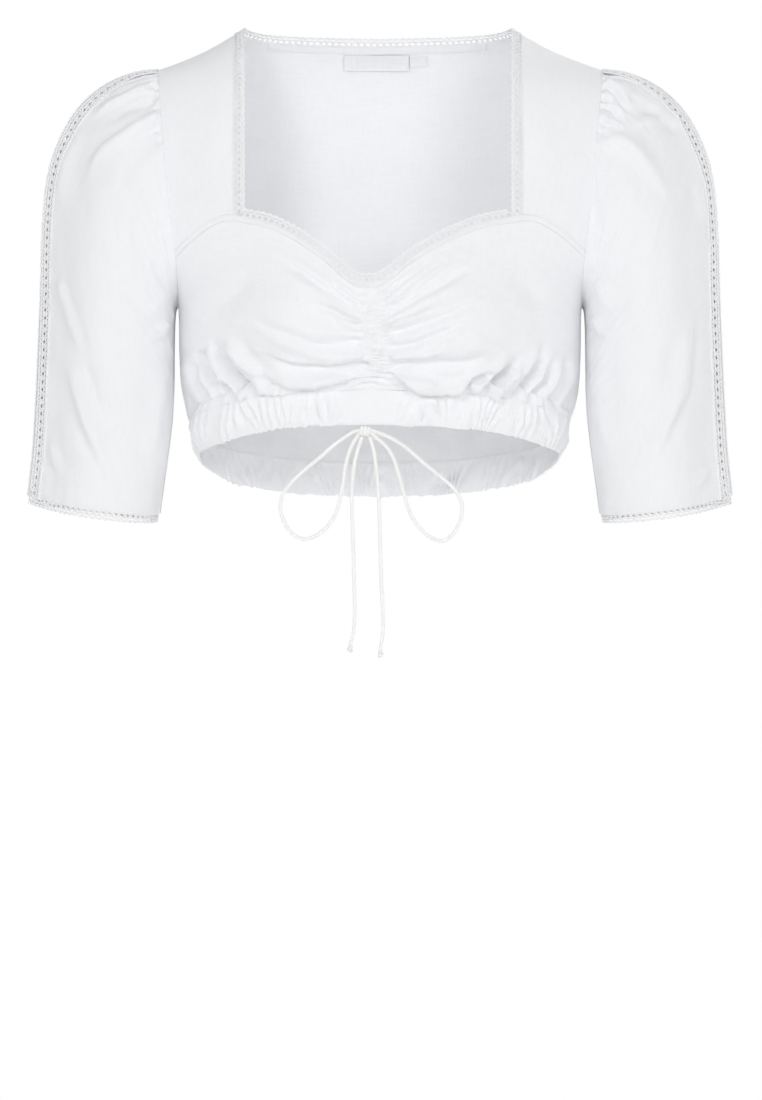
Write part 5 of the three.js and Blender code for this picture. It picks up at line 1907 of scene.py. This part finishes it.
CORD_ROUTES = (
    CordRoute(
        "drawstring_loop_left",
        FarEnd.OBJECT,
        219.0,
        (
            (-21.7, LOOP_Y, -323.9), (-34, -94.4, -332.2), (-48, -96.2, -344.2), (-61.6, -97.8, -355.6),
            (-72.8, -98, -366.8), (-78.6, -98, -377), (-79, -98, -387), (-75.2, -98, -397.2),
            (-68.8, -98, -405.4), (-60, -98, -408.8), (-50.4, -97.8, -406), (-41, -97.4, -398),
            (-34.2, -97, -385.6), (-29.8, -96.6, -366.4), (-27.2, -95, -349.6), (-23.6, -93.2, -337),
            (-17.9, LOOP_Y, -326.6),
        ),
    ),
    CordRoute(
        "drawstring_loop_right",
        FarEnd.OBJECT,
        233.0,
        (
            (-2.3, LOOP_Y, -323.9), (9, -94.2, -328.8), (22.4, -97, -337.6), (35.2, -97.6, -348.8),
            (48.8, -98, -359.8), (60, -98, -370.4), (65, -98, -381), (64, -98, -393.4), (58.4, -98, -404.4),
            (50, -98, -410.4), (40.4, -97.8, -407.6), (30.6, -97.4, -399), (24, -97, -388.4),
            (20, -96.8, -376), (15.6, -96.4, -359.6), (11, -95, -345.4), (5, -93.2, -335.4),
            (-5.1, LOOP_Y, -326.4),
        ),
    ),
    CordRoute(
        "drawstring_tail_left",
        FarEnd.KNOT,
        167.0,
        (
            (-14.5, TAIL_Y, -327.5), (-18.4, TAIL_Y, -340.4), (-21.2, TAIL_Y, -355.2),
            (-22.4, TAIL_Y, -374.4), (-22.2, TAIL_Y, -391), (-21.6, TAIL_Y, -408), (-21, TAIL_Y, -422),
            (-20.8, TAIL_Y, -435.2), (-20.4, TAIL_Y, -449), (-20, TAIL_Y, -463.2), (-20.2, TAIL_Y, -473),
            (-20.8, TAIL_Y, -481.4), (-22, TAIL_Y, -487), (-23, TAIL_Y, -490.6), (-23.6, TAIL_Y, -493.4),
        ),
    ),
    CordRoute(
        "drawstring_tail_right",
        FarEnd.KNOT,
        171.0,
        (
            (-8.4, TAIL_Y, -327.3), (-4.8, TAIL_Y, -338.4), (-3.4, TAIL_Y, -349), (-2.4, TAIL_Y, -359.6),
            (-1.2, TAIL_Y, -374), (-0.4, TAIL_Y, -391), (0, TAIL_Y, -408), (0.4, TAIL_Y, -422),
            (0.8, TAIL_Y, -435.2), (1.4, TAIL_Y, -449), (2.1, TAIL_Y, -463.2), (2.6, TAIL_Y, -473),
            (2.4, TAIL_Y, -482), (1.2, TAIL_Y, -491), (0.4, TAIL_Y, -497.6),
        ),
    ),
)


def smooth_path(points: Points, step: float) -> Array:
    """Centripetal Catmull-Rom curve through points.

    Args:
        points: Points in mm.
        step: Distance between the points of the result, in mm.

    Returns:
        Evenly spaced points along the curve.
    """
    given = np.array(points, float)
    ends = (2 * given[:1] - given[1:2], given, 2 * given[-1:] - given[-2:-1])
    knots = np.concatenate(ends)
    dense = []
    for p0, p1, p2, p3 in zip(knots, knots[1:], knots[2:], knots[3:]):
        d0, d1, d2 = (math.sqrt(np.linalg.norm(b - a)) for a, b in ((p0, p1), (p1, p2), (p2, p3)))
        t1 = ((p1 - p0) / d0 - (p2 - p0) / (d0 + d1) + (p2 - p1) / d1) * d1
        t2 = ((p2 - p1) / d1 - (p3 - p1) / (d1 + d2) + (p3 - p2) / d2) * d1
        t = np.linspace(0.0, 1.0, 40, endpoint=False)[:, None]
        dense.append(p1 + t1 * t + (3 * (p2 - p1) - 2 * t1 - t2) * t**2 + (2 * (p1 - p2) + t1 + t2) * t**3)
    dense.append(given[-1:])
    path = np.concatenate(dense)
    run = run_length(path)
    places = np.linspace(0.0, run[-1], max(3, round(run[-1] / step) + 1))
    return resampled(path, run, places)


@dataclass(frozen=True)
class Drawstring:
    """Braided cord tied in a bow, with a small overhand knot near each free end."""

    diameter: float = 3.0
    sides: int = 16
    step: float = 0.7
    carriers: int = 4
    braid_pitch: float = 5.2
    braid_depth: float = 0.02
    knot_centre: tuple[float, float, float] = (-12.0, -90.5, -323.0)
    wrap_start: float = -0.9
    wrap_turns: float = 2.3
    wrap_rise: float = 2.75
    wrap_y: float = 3.0
    wrap_z: float = 2.7
    end_knot_radius: float = 2.6
    end_knot_size: float = 0.5
    end_knot_cord: float = 1.2
    root_share: float = 0.96
    cut_end_share: float = 0.72
    cut_end_length: float = 3.2

    def braid(self, turn: Array, run: Array) -> Array:
        """Share of the radius that the braid's strands stand out."""
        lay = FULL_TURN * run / self.braid_pitch
        one = np.cos(self.carriers * turn + lay)
        other = np.cos(self.carriers * turn - lay)
        return self.braid_depth * np.maximum(one, other) - self.braid_depth / 2

    def strand(self, points: Points, threads: Threads, radius: float | None = None) -> Array:
        """Adds a braided strand and returns its path."""
        path = smooth_path(points, self.step)
        threads.add(path, radius or self.diameter / 2, self.sides, relief=self.braid)
        return path

    def build(self) -> None:
        """Makes the two loops, the two tails and their knots."""
        material = FINISHES.get(CORD_COTTON)
        self.bow_knot(material)
        for route in CORD_ROUTES:
            threads = Threads()
            path = self.strand(route.points, threads)
            piece = fit(threads.piece(route.name, material), CORD_COTTON, route.node)
            if route.far_end is FarEnd.KNOT:
                self.end_knot(route, material)

    def bow_knot(self, material: Material) -> None:
        """The flattened knot: two turns of cord wrapped round the roots of the loops and tails."""
        x, y, z = self.knot_centre
        threads = Threads()
        turn = np.linspace(self.wrap_start, FULL_TURN * self.wrap_turns + self.wrap_start, 40)
        middle = self.wrap_turns * math.pi + self.wrap_start
        wrap = np.column_stack(
            [
                x + (turn - middle) / (FULL_TURN) * self.wrap_rise, y - self.wrap_y * np.cos(turn),
                z + self.wrap_z * np.sin(turn),
            ]
        )
        self.strand(wrap, threads, self.diameter / 2)
        high_root = ((-21.4, LOOP_Y, -323.7), (-17, -91.2, -322.6), (x, y, -322.6), (-7, -91.2, -322.6))
        low_root = ((-17.9, LOOP_Y, -326.4), (-15.5, -91.0, -324.4), (x, y, -323.8), (-8, -91.0, -324.2))
        roots = (
            (*high_root, (-2.6, LOOP_Y, -323.7)), (*low_root, (-5.1, LOOP_Y, -326.2)),
            ((-14.5, TAIL_Y, -327.3), (-13.6, -89.4, -325), (-12.4, -89.2, -322.6)),
            ((-8.4, TAIL_Y, -327.1), (-9.6, -89.4, -325), (-10.6, -89.2, -322.6)),
        )
        for root in roots:
            self.strand(root, threads, self.diameter / 2 * self.root_share)
        fit(threads.piece("drawstring_knot", material), CORD_COTTON, "tie_knot")

    def end_knot(self, route: CordRoute, material: Material) -> Piece:
        """Small overhand knot at the end of a tail, with a short cut end below it."""
        x, y, z = route.points[-1]
        centre_z = z - self.end_knot_radius - FORM.seam_gap
        turn = np.linspace(0.0, FULL_TURN, 49)[:-1]
        size = self.end_knot_size
        flat = np.column_stack(
            [
                (np.sin(turn) + 2 * np.sin(2 * turn)) * size, -np.sin(3 * turn) * size * 1.3,
                (np.cos(turn) - 2 * np.cos(2 * turn)) * size * 1.05,
            ]
        )
        tilt = math.radians(28 if x < -10 else -24)
        turned = np.column_stack(
            [
                flat[:, 0] * math.cos(tilt) - flat[:, 2] * math.sin(tilt), flat[:, 1],
                flat[:, 0] * math.sin(tilt) + flat[:, 2] * math.cos(tilt),
            ]
        )
        threads = Threads()
        threads.add(turned + np.array([x, y, centre_z]), self.end_knot_cord, 12, closed=True)
        self.strand(((x, y, z + 0.2), (x, y, centre_z)), threads, self.diameter / 2 * 0.95)
        cut_end = ((x, y, centre_z), (x + 0.3, y, centre_z - self.cut_end_length))
        self.strand(cut_end, threads, self.diameter / 2 * self.cut_end_share)
        name = route.name.replace("tail", "end")
        return fit(threads.piece(name, material), CORD_COTTON, route.node.replace("tail", "end"))


@dataclass(frozen=True)
class Softbox:
    """Rectangular studio light."""

    name: str
    place: tuple[float, float, float]
    target: tuple[float, float, float]
    width: float
    height: float
    watts: float
    seen: bool = True


@dataclass(frozen=True)
class Studio:
    """White studio with a level camera in front, as the photograph was taken."""

    aim_x: float = 0.0008
    aim_z: float = -0.4176
    distance: float = 16.0
    frame_height: float = 0.88
    sensor: float = 36.0
    floor_z: float = -1.4
    floor_size: float = 40.0
    front_ambient: float = 0.38
    back_ambient: float = 0.44
    side_ambient: float = 0.38
    boxes: tuple[Softbox, ...] = (
        Softbox("key", (-1.7, -5.6, 1.4), (0.0, 0.0, -0.25), 1.3, 1.3, 71.0),
        Softbox("fill", (2.2, -5.6, 0.9), (0.0, 0.0, -0.25), 1.8, 1.8, 56.0),
        Softbox("back key", (3.4, 4.0, 1.9), (0.0, 0.0, -0.2), 0.8, 0.8, 84.0),
        Softbox("inner back light", (0.0, -0.03, -0.11), (0.0, 0.2, -0.13), 0.17, 0.14, 0.024, False),
        Softbox("inner hem light", (0.0, -0.03, -0.33), (0.0, 0.2, -0.35), 0.14, 0.02, 0.009, False),
    )

    def build(self) -> None:
        """Makes the camera, lights, floor and world."""
        self.camera()
        for box in self.boxes:
            self.light(box)
        self.floor()
        self.world()
        settings = bpy.context.scene.view_settings
        settings.view_transform = "Standard"
        settings.look = "None"

    def camera(self) -> None:
        """Level camera on the photograph's centre line."""
        data = bpy.data.cameras.new("camera")
        data.sensor_width = self.sensor
        data.sensor_fit = "AUTO"
        data.lens = self.sensor * self.distance / self.frame_height
        data.clip_end = 100.0
        camera = bpy.data.objects.new("camera", data)
        camera.location = (self.aim_x, -self.distance, self.aim_z)
        camera.rotation_euler = (math.pi / 2, 0.0, 0.0)
        bpy.context.scene.collection.objects.link(camera)
        bpy.context.scene.camera = camera

    def light(self, box: Softbox) -> None:
        """One softbox, turned to its target."""
        data = bpy.data.lights.new(box.name, "AREA")
        data.shape = "RECTANGLE"
        data.size = box.width
        data.size_y = box.height
        data.energy = box.watts
        light = bpy.data.objects.new(box.name, data)
        light.location = box.place
        way = Vector(box.target) - Vector(box.place)
        light.rotation_euler = way.to_track_quat("-Z", "Y").to_euler()
        light.visible_camera = box.seen
        bpy.context.scene.collection.objects.link(light)

    def floor(self) -> None:
        """Wide white floor well below the blouse, seen as evenly white as the surroundings."""
        half = self.floor_size / 2
        mesh = bpy.data.meshes.new("floor")
        corners = [(-half, -half), (half, -half), (half, half), (-half, half)]
        mesh.from_pydata([(x, y, self.floor_z) for x, y in corners], [], [(0, 1, 2, 3)])
        material = bpy.data.materials.new("painted studio floor")
        material.use_nodes = True
        tree = material.node_tree
        tree.nodes.clear()
        add = partial(add_node, tree)
        place = add("ShaderNodeTexCoord").outputs["Object"]
        mottle = add("ShaderNodeTexNoise", {"Vector": place, "Scale": 3.0, "Detail": 4.0})
        rough = add("ShaderNodeMapRange", {"Value": mottle.outputs["Fac"], "To Min": 0.75, "To Max": 0.95})
        shader = add(
            "ShaderNodeBsdfPrincipled",
            {"Base Color": linear("FAFAFA"), "Roughness": rough, "Specular IOR Level": 0.1},
        )
        glow = add("ShaderNodeEmission", {"Color": linear("FFFFFF"), "Strength": 1.0})
        ray = add("ShaderNodeLightPath")
        seen = add("ShaderNodeMixShader", {0: ray.outputs["Is Camera Ray"], 1: shader, 2: glow})
        add("ShaderNodeOutputMaterial", {"Surface": seen})
        mesh.materials.append(material)
        floor = bpy.data.objects.new("floor", mesh)
        bpy.context.scene.collection.objects.link(floor)

    def world(self) -> None:
        """White surroundings, plain white to the eye, and as light strongest from both sides."""
        world = bpy.data.worlds.new("white studio")
        world.use_nodes = True
        tree = world.node_tree
        tree.nodes.clear()
        add = partial(add_node, tree)
        ray = add("ShaderNodeLightPath")
        way = add("ShaderNodeTexCoord")
        split = add("ShaderNodeSeparateXYZ", {0: way.outputs["Generated"]})
        depth = add(
            "ShaderNodeMapRange",
            {
                "Value": split.outputs["Y"], "From Min": -1.0, "From Max": 1.0,
                "To Min": self.front_ambient, "To Max": self.back_ambient,
            },
        )
        aside = add("ShaderNodeMath", {0: split.outputs["X"]}, operation="ABSOLUTE")
        light = add("ShaderNodeMath", {0: aside, 1: self.side_ambient, 2: depth}, operation="MULTIPLY_ADD")
        strength = add(
            "ShaderNodeMapRange", {"Value": ray.outputs["Is Camera Ray"], "To Min": light, "To Max": 1.0},
        )
        background = add("ShaderNodeBackground", {"Color": (1.0, 1.0, 1.0, 1.0), "Strength": strength})
        add("ShaderNodeOutputWorld", {"Surface": background})
        bpy.context.scene.world = world


def main() -> None:
    """Builds the studio and the blouse."""
    logging.basicConfig(level=logging.INFO, format="%(name)s: %(message)s")
    Studio().build()
    Drawstring().build()
    BustPanel().build()
    BustBand().build()
    for hand in Hand:
        ShoulderPart().build(hand)
    labels = [label.build() for label in LABELS]
    BackPanel().build(labels)
    HemBand(Side.FRONT).build()
    HemBand(Side.BACK, stitched=(0.06, 0.93)).build()
    NeckTrim().build()
    for hand in Hand:
        Sleeve(hand).build()
    LOG.info("blouse dressed")


if __name__ == "__main__":
    main()
